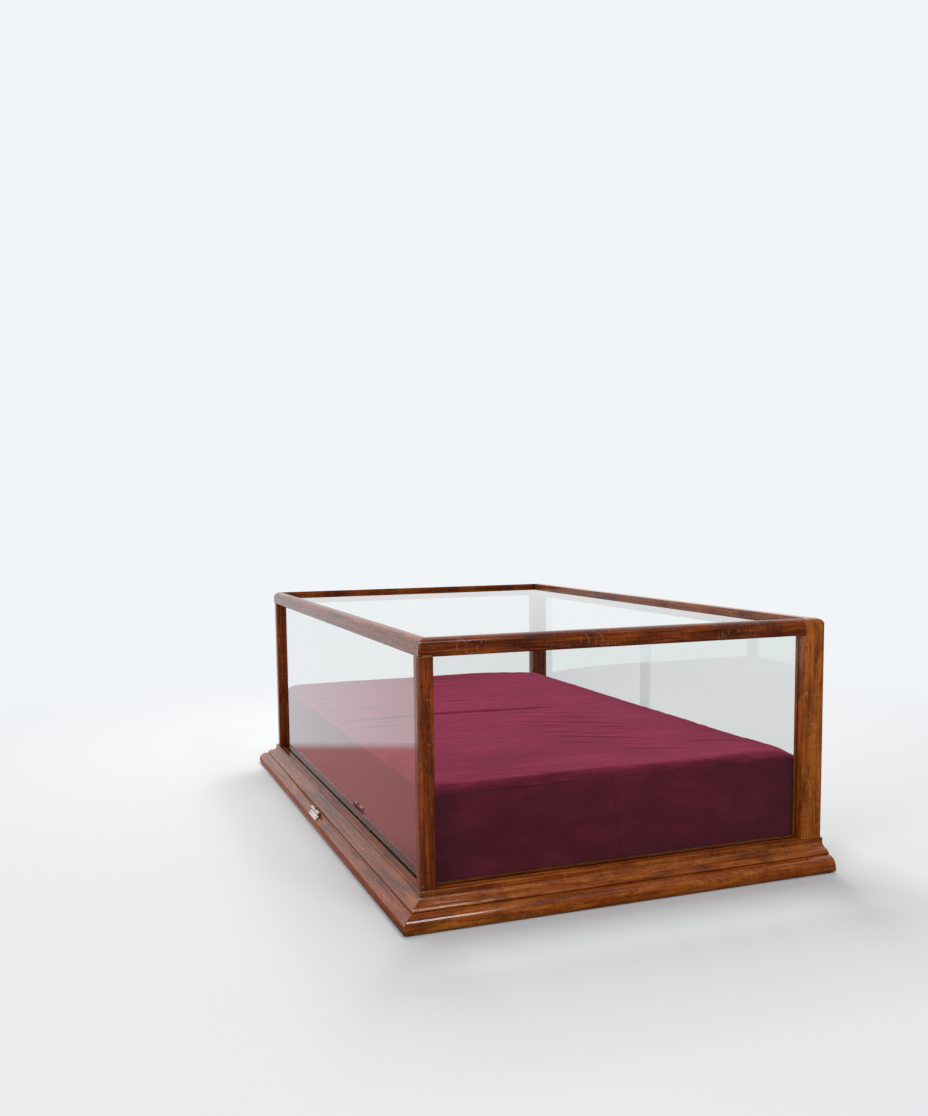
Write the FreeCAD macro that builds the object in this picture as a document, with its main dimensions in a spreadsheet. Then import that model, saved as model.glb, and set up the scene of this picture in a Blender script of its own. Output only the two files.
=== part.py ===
import FreeCAD, Part
import math
import os

import Sketcher

# A glazed counter case: a plinth moulded on three sides, four posts and four top rails hold plate
# glass on five sides, two plate-glass doors slide past each other in the plain rear, and a
# cloth-covered bed fills the lower third. Millimetres. +X runs along the case, +Z is up, -Y is
# the customers' side. The origin is the middle of the footprint, on the surface that the case
# stands on.

# ---------------------------------------------------------------- driving sizes

SIZES = {
    # overall
    "base_length": 914.0,            # outermost points of the plinth, along X
    "base_depth": 568.0,             # front of the plinth to its plain rear, along Y
    "case_height": 319.5,            # top of the rails above the surface
    "baize_thickness": 1.5,
    # plinth moulding, seen in section
    "plinth_height": 36.5,
    "moulding_run": 27.0,            # arris of the top fillet to the outermost point
    "fillet_edge": 4.7,
    "fillet_round": 1.2,
    "quirk_step": 1.0,
    "ogee_hollow_radius": 11.0,
    "ogee_mid_run": 20.3,
    "ogee_mid_rise": 25.0,
    "ogee_swell_radius": 9.5,
    "ogee_foot_run": 14.6,
    "bead_top_rise": 21.1,
    "bead_height": 2.6,
    "bead_radius": 1.5,
    "torus_radius": 13.6,
    "torus_foot_run": 0.9,
    "torus_top_run": 11.4,
    "torus_top_rise": 18.1,
    # base board and what hides beneath it
    "board_thickness": 10.0,
    "board_seat": 10.0,
    "board_setback": 0.7,            # bed's cloth to the edge of the board's rebate under it
    "joint_gap": 0.5,
    "glue_block_leg": 36.0,
    "glue_block_height": 24.0,
    "baize_side": 44.0,
    "baize_inset": 9.0,
    # frame of posts and rails
    "front_ledge": 2.9,              # plinth arris to the posts' front faces
    "end_ledge": 1.3,                # the same at the ends
    "rear_ledge": 1.0,               # and at the plain rear
    "end_stock": 20.0,               # posts and end rails, along X
    "front_stock": 18.0,             # front posts and front rail, along Y
    "rear_stock": 29.5,              # rear posts and rear rail, along Y
    "rail_height": 21.0,
    "rail_top_round": 9.5,
    "rail_low_round": 3.5,
    "rear_low_round": 2.0,
    "post_corner_round": 8.5,
    "post_arris_round": 3.0,
    "post_bevel": 3.0,
    "scribe_height": 2.5,
    "tenon_length": 9.0,
    "tenon_thickness": 7.0,
    "tenon_height": 9.0,
    # top glass
    "end_rim": 12.5,
    "front_rim": 12.0,
    "rear_rim": 21.5,
    "top_recess": 6.0,
    "top_glass_thickness": 4.0,
    "glass_gap": 0.75,
    # side glass
    "pane_thickness": 3.0,
    "front_recess": 9.5,
    "end_recess": 12.0,
    "pane_corner_round": 8.0,
    "seat_groove_depth": 3.0,
    "seat_front_gap": 1.6,
    "seat_back_gap": 0.4,
    "head_groove_depth": 8.0,
    "head_side_gap": 0.3,
    "pane_entry": 4.5,
    "pin_radius": 0.7,
    "pin_stand": 2.2,
    "left_pin_distance": 310.0,      # the pins, from the middle of the front pane
    "right_pin_distance": 180.0,
    # rear doors
    "door_thickness": 4.0,
    "door_play": 0.5,
    "track_lip": 3.0,
    "track_rib": 3.0,
    "track_setback": 0.5,
    "sill_height": 9.0,
    "sill_groove_depth": 5.0,
    "door_head_depth": 12.0,
    "door_entry": 7.0,
    "door_floor_gap": 0.3,
    "door_stop_gap": 1.0,
    "door_overlap": 14.0,
    "pull_width": 16.0,
    "pull_height": 50.0,
    "pull_end_radius": 9.0,
    "pull_depth": 1.4,
    "pull_inset": 26.0,
    "pull_rise": 62.0,
    # bed
    "bed_front_gap": 15.5,           # posts' front faces to the cloth
    "bed_end_gap": 21.0,
    "bed_rear_gap": 21.5,
    "bed_top": 145.5,
    "pad_thickness": 10.2,
    "pad_round": 5.0,
    "cloth_thickness": 2.0,
    "soft_gap": 0.3,
    "skirt_lift": 0.5,
    "bed_board": 12.0,
    "bed_lid": 8.0,
    "bearer_thickness": 20.0,
    "bearer_height": 60.0,
    "bearer_pitch": 205.0,
    # catch on the front moulding
    "catch_length": 45.0,
    "catch_offset": -4.0,
    "catch_gap": 0.3,
    "catch_sheet": 1.0,
    "catch_low": 12.0,
    "catch_high": 17.4,
    "catch_barrel_radius": 3.0,
    "catch_barrel_rise": 20.2,
    "catch_bore_radius": 2.0,
    "catch_bolt_radius": 1.93,
    "catch_bolt_inset": 1.0,
    "catch_bolt_length": 35.0,
    "catch_stud_radius": 1.1,
    "catch_stud_height": 2.6,
    "catch_travel": 10.0,
    "catch_screw_radius": 0.9,
    "catch_screw_bite": 8.0,
    "catch_screw_head_radius": 1.5,
    "catch_screw_head": 0.6,
    "catch_screw_pitch": 30.0,
    # screws that hold the posts down
    "screw_radius": 2.4,
    "screw_clearance": 0.1,
    "screw_bite": 24.0,
    "screw_head_radius": 4.5,
    "screw_head_height": 3.0,
    "counterbore_radius": 5.2,
    "counterbore_depth": 9.0,
}

CUT_MARGIN = 5.0                     # how far a mitre's cutter stands past the member

doc = FreeCAD.newDocument("display_case")
cells = doc.addObject("Spreadsheet::Sheet", "cells")


class Dim:
    """A size that carries its value together with the sheet formula that gives it."""

    def __init__(self, value, text):
        self.value = value
        self.text = text

    @staticmethod
    def of(other):
        return other if isinstance(other, Dim) else Dim(float(other), repr(float(other)))

    def __add__(self, other):
        other = Dim.of(other)
        return Dim(self.value + other.value, f"({self.text} + {other.text})")

    def __sub__(self, other):
        other = Dim.of(other)
        return Dim(self.value - other.value, f"({self.text} - {other.text})")

    def __mul__(self, other):
        other = Dim.of(other)
        return Dim(self.value * other.value, f"({self.text} * {other.text})")

    def __truediv__(self, other):
        other = Dim.of(other)
        return Dim(self.value / other.value, f"({self.text} / {other.text})")

    def __neg__(self):
        return self * -1.0

    __radd__ = __add__
    __rmul__ = __mul__

    def __rsub__(self, other):
        return Dim.of(other) - self

    def root(self):
        return Dim(math.sqrt(self.value), f"sqrt({self.text})")


def fill_sheet():
    """Write every driving size to the sheet and return the sizes by name."""
    table = {}
    for row, (alias, value) in enumerate(SIZES.items(), start=1):
        cells.set(f"A{row}", alias)
        cells.set(f"B{row}", str(value))
        cells.setAlias(f"B{row}", alias)
        table[alias] = Dim(value, f"cells.{alias}")
    doc.recompute()
    return table


size = fill_sheet()


def bind(thing, prop, dim):
    """Tie one property of a document object to a size."""
    dim = Dim.of(dim)
    if "." not in prop:
        setattr(thing, prop, dim.value)
    thing.setExpression(prop, dim.text)


def place(thing, x=0.0, y=0.0, z=0.0, turn=None):
    """Put an object at a bound position, turned about an axis by a fixed angle if asked."""
    if turn:
        axis, degrees = turn
        thing.Placement = FreeCAD.Placement(FreeCAD.Vector(), FreeCAD.Rotation(axis, degrees))
    for letter, dim in zip("xyz", (x, y, z)):
        bind(thing, f"Placement.Base.{letter}", dim)


# ---------------------------------------------------------------- derived lines

half_length = size["base_length"] / 2
half_depth = size["base_depth"] / 2
plinth_low = size["baize_thickness"]
plinth_top = plinth_low + size["plinth_height"]
board_low = plinth_top - size["board_thickness"]
end_face = half_length - size["moulding_run"] - size["end_ledge"]
front_face = size["moulding_run"] + size["front_ledge"] - half_depth
rear_face = half_depth - size["rear_ledge"]
post_side = end_face - size["end_stock"]
front_inner = front_face + size["front_stock"]
rear_inner = rear_face - size["rear_stock"]
rail_low = size["case_height"] - size["rail_height"]
glass_seat = size["case_height"] - size["top_recess"] - size["top_glass_thickness"]
pane_foot = plinth_top - size["seat_groove_depth"]
pane_head = rail_low + size["pane_entry"]
groove_width = size["door_thickness"] + 2 * size["door_play"]
track_depth = 2 * size["track_lip"] + size["track_rib"] + 2 * groove_width
track_pitch = groove_width + size["track_rib"]
bed_end = end_face - size["bed_end_gap"]
bed_front = front_face + size["bed_front_gap"]
bed_rear = rear_face - size["bed_rear_gap"]
plinth_width = half_length - bed_end + size["board_seat"] + size["board_setback"]
lid_top = size["bed_top"] - size["pad_thickness"] - size["soft_gap"]
lid_low = lid_top - size["bed_lid"]
screw_x = end_face - size["end_stock"] / 2
screw_lines = (front_face + size["front_stock"] / 2, rear_face - size["rear_stock"] / 2)

ENDS = {"left": -1, "right": 1}      # the case's ends as seen from the customers' side
parts = []                           # finished sub-parts, in the order they are written


# ---------------------------------------------------------------- modelling helpers

def finish(thing, label):
    """Name a finished sub-part and list it for writing."""
    thing.Label = label
    parts.append(thing)
    return thing


def centre_of_arc(start, end, radius):
    """Centre of the arc from start to end. A positive radius turns left."""
    (x0, y0), (x1, y1) = start, end
    chord = math.hypot(x1 - x0, y1 - y0)
    reach = math.sqrt(max(radius * radius - chord * chord / 4, 0.0))
    side = 1.0 if radius > 0 else -1.0
    left = (-(y1 - y0) / chord, (x1 - x0) / chord)
    return (x0 + x1) / 2 + side * left[0] * reach, (y0 + y1) / 2 + side * left[1] * reach


def arc_geometry(start, end, radius):
    """An arc for a sketch, and whether it runs backwards along the outline."""
    centre = centre_of_arc(start, end, radius)
    begin, finish_point = (start, end) if radius > 0 else (end, start)
    first = math.atan2(begin[1] - centre[1], begin[0] - centre[0])
    last = math.atan2(finish_point[1] - centre[1], finish_point[0] - centre[0])
    if last <= first:
        last += 2 * math.pi
    circle = Part.Circle(FreeCAD.Vector(*centre, 0), FreeCAD.Vector(0, 0, 1), abs(radius))
    return Part.ArcOfCircle(circle, first, last), radius < 0


def pin_point(sketch, geometry, position, point):
    """Hold one point of a sketch at bound distances from the sketch's origin."""
    for kind, axis, dim in (("DistanceX", -2, point[0]), ("DistanceY", -1, point[1])):
        dim = Dim.of(dim)
        if dim.text == "0.0":
            sketch.addConstraint(Sketcher.Constraint("PointOnObject", geometry, position, axis))
            continue
        rule = Sketcher.Constraint(kind, -1, 1, geometry, position, dim.value)
        index = sketch.addConstraint(rule)
        sketch.setExpression(f"Constraints[{index}]", dim.text)


def draw(sketch, outline):
    """Draw a closed outline. A corner is (x, y), or (x, y, radius) where an arc leads to it."""
    values = [(Dim.of(c[0]).value, Dim.of(c[1]).value) for c in outline]
    count = len(outline)
    joints = []
    for index in range(count):
        following = (index + 1) % count
        start, end = values[index], values[following]
        if len(outline[following]) == 3:
            radius = Dim.of(outline[following][2])
            shape, backwards = arc_geometry(start, end, radius.value)
            line = sketch.addGeometry(shape, False)
            rule = sketch.addConstraint(Sketcher.Constraint("Radius", line, abs(radius.value)))
            sketch.setExpression(f"Constraints[{rule}]", f"abs({radius.text})")
        else:
            backwards = False
            segment = Part.LineSegment(FreeCAD.Vector(*start, 0), FreeCAD.Vector(*end, 0))
            line = sketch.addGeometry(segment, False)
        joints.append((line, 2, 1) if backwards else (line, 1, 2))
    for index, (line, first, last) in enumerate(joints):
        next_line, next_first, _ = joints[(index + 1) % count]
        sketch.addConstraint(Sketcher.Constraint("Coincident", line, last, next_line, next_first))
        pin_point(sketch, line, first, outline[index])


def draw_circle(sketch, x, y, radius):
    """Draw a circle with bound centre and radius."""
    x, y, radius = Dim.of(x), Dim.of(y), Dim.of(radius)
    centre = FreeCAD.Vector(x.value, y.value, 0)
    circle = Part.Circle(centre, FreeCAD.Vector(0, 0, 1), radius.value)
    line = sketch.addGeometry(circle, False)
    rule = sketch.addConstraint(Sketcher.Constraint("Radius", line, radius.value))
    sketch.setExpression(f"Constraints[{rule}]", radius.text)
    pin_point(sketch, line, 3, (x, y))


class Member:
    """A body that is padded from a section and then cut. Planes are XY, XZ and YZ."""

    NORMALS = {"XY": 1, "XZ": -1, "YZ": 1}   # sign of each plane's normal along its own axis

    def __init__(self, name):
        self.name = name
        self.body = doc.addObject("PartDesign::Body", name)
        self.cuts = 0

    def sketch(self, plane, level):
        """A sketch parallel to one of the body's own planes, at a bound level along its axis."""
        self.cuts += 1
        sketch = self.body.newObject("Sketcher::SketchObject", f"{self.name}_sketch{self.cuts}")
        role = f"{plane}_Plane"
        face = [f for f in self.body.Origin.OriginFeatures if f.Role == role][0]
        sketch.AttachmentSupport = [(face, "")]
        sketch.MapMode = "FlatFace"
        bind(sketch, "AttachmentOffset.Base.z", self.NORMALS[plane] * Dim.of(level))
        return sketch

    def pad(self, plane, low, high, outline):
        """Pad an outline from low to high along the plane's axis."""
        start = high if self.NORMALS[plane] < 0 else low
        sketch = self.sketch(plane, start)
        draw(sketch, outline)
        pad = self.body.newObject("PartDesign::Pad", f"{self.name}_pad")
        pad.Profile = sketch
        bind(pad, "Length", high - low)
        doc.recompute()
        return self

    def pocket(self, plane, low, high, outlines, circles=()):
        """Cut outlines and circles away between low and high along the plane's axis."""
        start = high if self.NORMALS[plane] > 0 else low
        sketch = self.sketch(plane, start)
        for outline in outlines:
            draw(sketch, outline)
        for circle in circles:
            draw_circle(sketch, *circle)
        before = self.body.Shape.Volume
        pocket = self.body.newObject("PartDesign::Pocket", f"{self.name}_cut{self.cuts}")
        pocket.Profile = sketch
        bind(pocket, "Length", high - low)
        doc.recompute()
        if self.body.Shape.Volume > before - 1e-3:
            raise RuntimeError(f"{pocket.Name} removed nothing")
        return self

    def round(self, radius, chosen):
        """Round the edges that the test picks."""
        edges = self.body.Shape.Edges
        names = [f"Edge{i + 1}" for i, edge in enumerate(edges) if chosen(edge)]
        last = self.body.Tip
        fillet = self.body.newObject("PartDesign::Fillet", f"{self.name}_round")
        fillet.Base = (last, names)
        bind(fillet, "Radius", radius)
        doc.recompute()
        return self


def block(name, low, high):
    """A rectangular block between two bound corners."""
    box = doc.addObject("Part::Box", name)
    for prop, near, far in zip(("Length", "Width", "Height"), low, high):
        bind(box, prop, far - near)
    place(box, *low)
    return box


def rod(name, radius, length, x, y, z, along="Z"):
    """A cylinder from a bound point, along Z, along X, or tilted forwards from Z by 45 degrees."""
    cylinder = doc.addObject("Part::Cylinder", name)
    bind(cylinder, "Radius", radius)
    bind(cylinder, "Height", length)
    turns = {"Z": None, "X": (FreeCAD.Vector(0, 1, 0), 90), "tilted": (FreeCAD.Vector(1, 0, 0), 45)}
    place(cylinder, x, y, z, turns[along])
    return cylinder


def fuse(name, pieces):
    """Pieces that form one sub-part, joined where they meet."""
    joined = doc.addObject("Part::MultiFuse", name)
    joined.Shapes = pieces
    return joined


def group(name, pieces):
    """Pieces that stay separate solids but share one sub-part."""
    gathered = doc.addObject("Part::Compound", name)
    gathered.Links = pieces
    return gathered


def cut(name, base, tools):
    """A base with tools cut away."""
    tool = tools[0] if len(tools) == 1 else fuse(f"{name}_tools", tools)
    result = doc.addObject("Part::Cut", name)
    result.Base = base
    result.Tool = tool
    return result


def rectangle(x0, y0, x1, y1):
    """Outline of a rectangle."""
    return [(x0, y0), (x1, y0), (x1, y1), (x0, y1)]


def mapped(section, origin, sign):
    """Move a section of (run inwards, height) to the side of the case that origin and sign give."""
    moved = []
    for run, height, *radius in section:
        moved.append((origin + sign * Dim.of(run), height, *[sign * Dim.of(r) for r in radius]))
    return moved


# ---------------------------------------------------------------- plinth

def plinth_section():
    """Section of the plinth: a flat top and back, then torus, bead, ogee and fillet outside."""
    low, top = plinth_low, plinth_top
    ogee_top = top - size["fillet_edge"]
    run = size["moulding_run"]
    bead_run = size["ogee_foot_run"]
    bead_top = low + size["bead_top_rise"]
    bead_low = bead_top - size["bead_height"]
    return [
        (plinth_width, low),
        (plinth_width, top),
        (run + size["fillet_round"], top),
        (run, top - size["fillet_round"], size["fillet_round"]),
        (run, ogee_top),
        (run + size["quirk_step"], ogee_top),
        (size["ogee_mid_run"], low + size["ogee_mid_rise"], -size["ogee_hollow_radius"]),
        (bead_run, bead_top, size["ogee_swell_radius"]),
        (bead_run, bead_low, size["bead_radius"]),
        (size["torus_top_run"], low + size["torus_top_rise"]),
        (size["torus_foot_run"], low, size["torus_radius"]),
    ]


def pane_seat(ledge, recess, front_gap):
    """Groove for a pane's foot, as a section of (run inwards, height)."""
    face = size["moulding_run"] + ledge + recess
    far = face + size["pane_thickness"] + size["seat_back_gap"]
    return rectangle(face - front_gap, pane_foot, far, plinth_top + 1.0)


def board_rebate():
    """Rebate for the base board, as a section of (run inwards, height)."""
    edge = plinth_width - size["board_seat"]
    return rectangle(edge, board_low, plinth_width + 1.0, plinth_top + 1.0)


def torus_centre():
    """Centre of the torus's arc, as (run inwards, rise above the plinth's foot)."""
    half_rise = size["torus_top_rise"] / 2
    half_run = (size["torus_top_run"] - size["torus_foot_run"]) / 2
    chord = (half_rise * half_rise + half_run * half_run).root()
    reach = (size["torus_radius"] * size["torus_radius"] - chord * chord).root()
    return (size["torus_foot_run"] + half_run + reach * (half_rise / chord),
            half_rise - reach * (half_run / chord))


def catch_screw_rods(name, radius, low, high):
    """Rods square to the torus at 45 degrees, between two distances from its centre."""
    run, rise = torus_centre()
    diagonal = math.sqrt(0.5)
    rods = []
    for sign in (-1, 1):
        tilted = rod(f"{name}_{len(rods) + 1}", radius, high - low,
                     size["catch_offset"] + sign * size["catch_screw_pitch"] / 2,
                     run - half_depth - diagonal * low,
                     plinth_low + rise + diagonal * low, "tilted")
        rods.append(tilted)
    return rods


def cut_screw_ways(member, centres):
    """Cut the holes and counterbores for the screws that come up into the posts."""
    hole = size["screw_radius"] + size["screw_clearance"]
    member.pocket("XY", Dim.of(0), plinth_top + CUT_MARGIN, [], [(x, y, hole) for x, y in centres])
    member.pocket("XY", Dim.of(0), plinth_low + size["counterbore_depth"], [],
                  [(x, y, size["counterbore_radius"]) for x, y in centres])


def build_plinth():
    """A moulded front mitred to moulded ends, which run back to a plain rear member."""
    width = plinth_width
    above = plinth_top + CUT_MARGIN
    rebate_end = half_depth - width + size["board_seat"]

    front = Member("plinth_front_stock")
    front.pad("YZ", -half_length, half_length, mapped(plinth_section(), -half_depth, 1))
    seat = pane_seat(size["front_ledge"], size["front_recess"], size["seat_front_gap"])
    front.pocket("YZ", -half_length, half_length,
                 [mapped(groove, -half_depth, 1) for groove in (seat, board_rebate())])
    triangles = []
    for sign in (-1, 1):
        corner = (sign * (half_length + CUT_MARGIN), -(half_depth + CUT_MARGIN))
        inner = (sign * (half_length - width - CUT_MARGIN), width + CUT_MARGIN - half_depth)
        triangles.append([corner, inner, (corner[0], inner[1])])
    front.pocket("XY", Dim.of(0), above, triangles)
    cut_screw_ways(front, [(sign * screw_x, screw_lines[0]) for sign in (-1, 1)])
    torus = size["torus_radius"]
    holes = catch_screw_rods("catch_screw_hole", size["catch_screw_radius"] + size["screw_clearance"],
                             torus - size["catch_screw_bite"] - 1.0, torus + 1.0)
    finish(cut("plinth_front", front.body, holes), "plinth_front")

    for side, sign in ENDS.items():
        member = Member(f"plinth_{side}_end")
        origin = sign * half_length
        member.pad("XZ", -half_depth, half_depth, mapped(plinth_section(), origin, -sign))
        seat = pane_seat(size["end_ledge"], size["end_recess"], size["seat_back_gap"])
        member.pocket("XZ", -half_depth, rear_inner + size["post_arris_round"],
                      [mapped(seat, origin, -sign)])
        member.pocket("XZ", -half_depth, rebate_end, [mapped(board_rebate(), origin, -sign)])
        corner = (sign * (half_length + CUT_MARGIN), -(half_depth + CUT_MARGIN))
        inner = (sign * (half_length - width - CUT_MARGIN), width + CUT_MARGIN - half_depth)
        member.pocket("XY", Dim.of(0), above, [[corner, inner, (inner[0], corner[1])]])
        cut_screw_ways(member, [(sign * screw_x, y) for y in screw_lines])
        finish(member.body, f"plinth_{side}_end")

    rear = Member("plinth_rear")
    rear.pad("YZ", width - half_length, half_length - width,
             rectangle(half_depth - width, plinth_low, half_depth, plinth_top))
    rear.pocket("YZ", -half_length, half_length, [mapped(board_rebate(), half_depth, -1)])
    finish(rear.body, "plinth_rear")


def build_base():
    """The board let into the plinth, glue blocks in its corners and baize under them."""
    edge = plinth_width - size["board_seat"] + size["joint_gap"]
    board = Member("base_board")
    board.pad("XY", board_low, plinth_top,
              rectangle(edge - half_length, edge - half_depth,
                        half_length - edge, half_depth - edge))
    finish(board.body, "base_board")

    blocks, pads = [], []
    leg = size["glue_block_leg"]
    near, far = size["baize_inset"], size["baize_inset"] + size["baize_side"]
    for x_sign in (-1, 1):
        for y_sign in (-1, 1):
            x = x_sign * (half_length - plinth_width)
            y = y_sign * (half_depth - plinth_width)
            wedge = Member(f"glue_block_{len(blocks) + 1}")
            wedge.pad("XY", board_low - size["glue_block_height"], board_low,
                      [(x, y), (x - x_sign * leg, y), (x, y - y_sign * leg)])
            blocks.append(wedge.body)
            x = near - half_length if x_sign < 0 else half_length - far
            y = near - half_depth if y_sign < 0 else half_depth - far
            pads.append(block(f"baize_{len(pads) + 1}", (x, y, Dim.of(0)),
                              (x + size["baize_side"], y + size["baize_side"], plinth_low)))
    finish(group("glue_blocks", blocks), "glue_blocks")
    finish(group("baize_pads", pads), "baize_pads")


# ---------------------------------------------------------------- rails and posts

def rail_section(stock, rim, low_round, grooves):
    """Section of a top rail: a thumb-shaped outer face, a seat for the top glass, grooves below."""
    low, top = rail_low, size["case_height"]
    section = [(stock, low), (stock, glass_seat), (rim, glass_seat), (rim, top)]
    section += [
        (size["rail_top_round"], top),
        (0, top - size["rail_top_round"], size["rail_top_round"]),
        (0, low + low_round),
        (low_round, low, low_round),
    ]
    for near, far, depth in grooves:
        section += [(near, low), (near, low + depth), (far, low + depth), (far, low)]
    return section


def head_groove(recess):
    """Groove for a pane's top edge."""
    return (recess - size["head_side_gap"],
            recess + size["pane_thickness"] + size["head_side_gap"],
            size["head_groove_depth"])


def frame_mitre(x_sign):
    """The 45 degree cut at a front corner of the frame, as a triangle in plan."""
    reach = size["rear_stock"] + CUT_MARGIN
    corner = (x_sign * (end_face + CUT_MARGIN), front_face - CUT_MARGIN)
    inner = (x_sign * (end_face - reach), front_face + reach)
    return corner, inner


def build_rails():
    """Front rail mitred to both end rails, end rails scribed to the rear posts, rear rail tenoned."""
    front = Member("rail_front")
    section = rail_section(size["front_stock"], size["front_rim"], size["rail_low_round"],
                           [head_groove(size["front_recess"])])
    front.pad("YZ", -end_face, end_face, mapped(section, front_face, 1))
    triangles = []
    for x_sign in (-1, 1):
        corner, inner = frame_mitre(x_sign)
        triangles.append([corner, inner, (corner[0], inner[1])])
    front.pocket("XY", rail_low - CUT_MARGIN, size["case_height"] + CUT_MARGIN, triangles)
    finish(front.body, "rail_front")

    rails = {}
    section = rail_section(size["end_stock"], size["end_rim"], size["rail_low_round"],
                           [head_groove(size["end_recess"])])
    for side, sign in ENDS.items():
        rail = Member(f"rail_{side}_stock")
        rail.pad("XZ", front_face, rear_inner + size["post_bevel"],
                 mapped(section, sign * end_face, -sign))
        corner, inner = frame_mitre(sign)
        rail.pocket("XY", rail_low - CUT_MARGIN, size["case_height"] + CUT_MARGIN,
                    [[corner, inner, (inner[0], corner[1])]])
        rails[side] = rail.body

    near = size["track_setback"] + size["track_lip"]
    grooves = [(near + step * track_pitch, near + step * track_pitch + groove_width,
                size["door_head_depth"]) for step in (0, 1)]
    section = rail_section(size["rear_stock"], size["rear_rim"], size["rear_low_round"], grooves)
    rear = Member("rail_rear_stock")
    rear.pad("YZ", -post_side, post_side, mapped(section, rear_face, -1))
    tenons = []
    for side, sign in ENDS.items():
        low, high = tenon_box(sign)
        tenons.append(block(f"tenon_{side}", low, high))
    finish(fuse("rail_rear", [rear.body] + tenons), "rail_rear")
    return front.body, rails


def tenon_box(sign):
    """Corners of the rear rail's tenon at one end, which is also the mortise in the post."""
    x = sorted((sign * post_side, sign * (post_side + size["tenon_length"])), key=lambda d: d.value)
    y, z = rear_inner + 1.0, rail_low + 1.0
    return (x[0], y, z), (x[1], y + size["tenon_thickness"], z + size["tenon_height"])


def shoulder(face, sign):
    """What a round top arris takes off a post, for the face that looks the way of sign."""
    top, radius = size["case_height"], size["rail_top_round"]
    clear = face + sign * CUT_MARGIN
    return [
        (face - sign * radius, top),
        (face, top - radius, -sign * radius),
        (clear, top - radius),
        (clear, top + CUT_MARGIN),
        (face - sign * radius, top + CUT_MARGIN),
    ]


def screw_hole(name, x, y):
    """Hole in the foot of a post for its screw."""
    return rod(name, size["screw_radius"] + size["screw_clearance"],
               size["screw_bite"] + 1.0 + CUT_MARGIN, x, y, plinth_top - CUT_MARGIN)


def build_posts(rail_front, rails):
    """Front posts scribed under the mitred rails, rear posts that run to the top."""
    corner, arris, bevel = size["post_corner_round"], size["post_arris_round"], size["post_bevel"]
    for side, sign in ENDS.items():
        outer, inner = sign * end_face, sign * post_side
        post = Member(f"post_front_{side}_stock")
        post.pad("XY", plinth_top, rail_low + size["scribe_height"], [
            (inner, front_inner),
            (inner, front_face + arris),
            (inner + sign * arris, front_face, sign * arris),
            (outer - sign * corner, front_face),
            (outer, front_face + corner, sign * corner),
            (outer, front_inner - arris),
            (outer - sign * arris, front_inner, sign * arris),
        ])
        hole = screw_hole(f"post_front_{side}_hole", sign * screw_x, screw_lines[0])
        finish(cut(f"post_front_{side}", post.body, [rail_front, rails[side], hole]),
               f"post_front_{side}")

        post = Member(f"post_rear_{side}_stock")
        post.pad("XY", plinth_top, size["case_height"], [
            (inner, rear_inner),
            (outer - sign * bevel, rear_inner),
            (outer, rear_inner + bevel),
            (outer, rear_face - arris),
            (outer - sign * arris, rear_face, sign * arris),
            (inner, rear_face),
        ])
        post.pocket("YZ", -half_length, half_length, [shoulder(rear_face, 1)])
        post.pocket("XZ", rear_inner - CUT_MARGIN, half_depth, [shoulder(outer, sign)])
        notch_x = end_face - size["end_rim"]
        notch = sorted((sign * (post_side - 1.0), sign * notch_x), key=lambda d: d.value)
        seat = block(f"post_rear_{side}_seat", (notch[0], rear_inner - 1.0, glass_seat),
                     (notch[1], rear_face - size["rear_rim"], size["case_height"] + 1.0))
        seated = cut(f"post_rear_{side}_seated", post.body, [seat])
        finish(cut(f"rail_{side}_end", rails[side], [seated]), f"rail_{side}_end")
        low, high = tenon_box(sign)
        mortise = block(f"post_rear_{side}_mortise", low, high)
        hole = screw_hole(f"post_rear_{side}_hole", sign * screw_x, screw_lines[1])
        finish(cut(f"post_rear_{side}", seated, [mortise, hole]), f"post_rear_{side}")


# ---------------------------------------------------------------- glass

def pane(name, plane, low, high, across, corner):
    """An upright pane with its lower corners rounded, between two limits across the case."""
    radius = size["pane_corner_round"]
    left, right = across
    member = Member(name)
    member.pad(plane, low, high, [
        (left, pane_head),
        (left, pane_foot + radius),
        (left + radius, pane_foot, radius),
        (right - radius, pane_foot),
        (right, pane_foot + radius, radius),
        (right, pane_head),
    ])
    return finish(member.body, name)


def build_glass():
    """Top glass in its rebate, front pane and end panes standing in the plinth's grooves."""
    gap = size["glass_gap"]
    reach = end_face - size["end_rim"] - gap
    top = Member("glass_top")
    top.pad("XY", glass_seat, glass_seat + size["top_glass_thickness"],
            rectangle(-reach, front_face + size["front_rim"] + gap,
                      reach, rear_face - size["rear_rim"] - gap))
    finish(top.body, "glass_top")
    near = front_face + size["front_recess"]
    pane("glass_front", "XZ", near, near + size["pane_thickness"],
         (gap - post_side, post_side - gap), None)
    for side, sign in ENDS.items():
        outer = sign * (end_face - size["end_recess"])
        inner = outer - sign * size["pane_thickness"]
        low, high = (inner, outer) if sign > 0 else (outer, inner)
        pane(f"glass_{side}_end", "YZ", low, high, (front_inner + gap, rear_inner - gap), None)


def build_pins():
    """Two brass pins that hold the front pane's foot against the back of its groove."""
    y = front_face + size["front_recess"] - size["seat_front_gap"] / 2
    height = size["seat_groove_depth"] + size["pin_stand"]
    pins = []
    for x in (-size["left_pin_distance"], size["right_pin_distance"]):
        pins.append(rod(f"pin_{len(pins) + 1}", size["pin_radius"], height, x, y, pane_foot))
    finish(group("glazing_pins", pins), "glazing_pins")


# ---------------------------------------------------------------- rear doors

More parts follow.
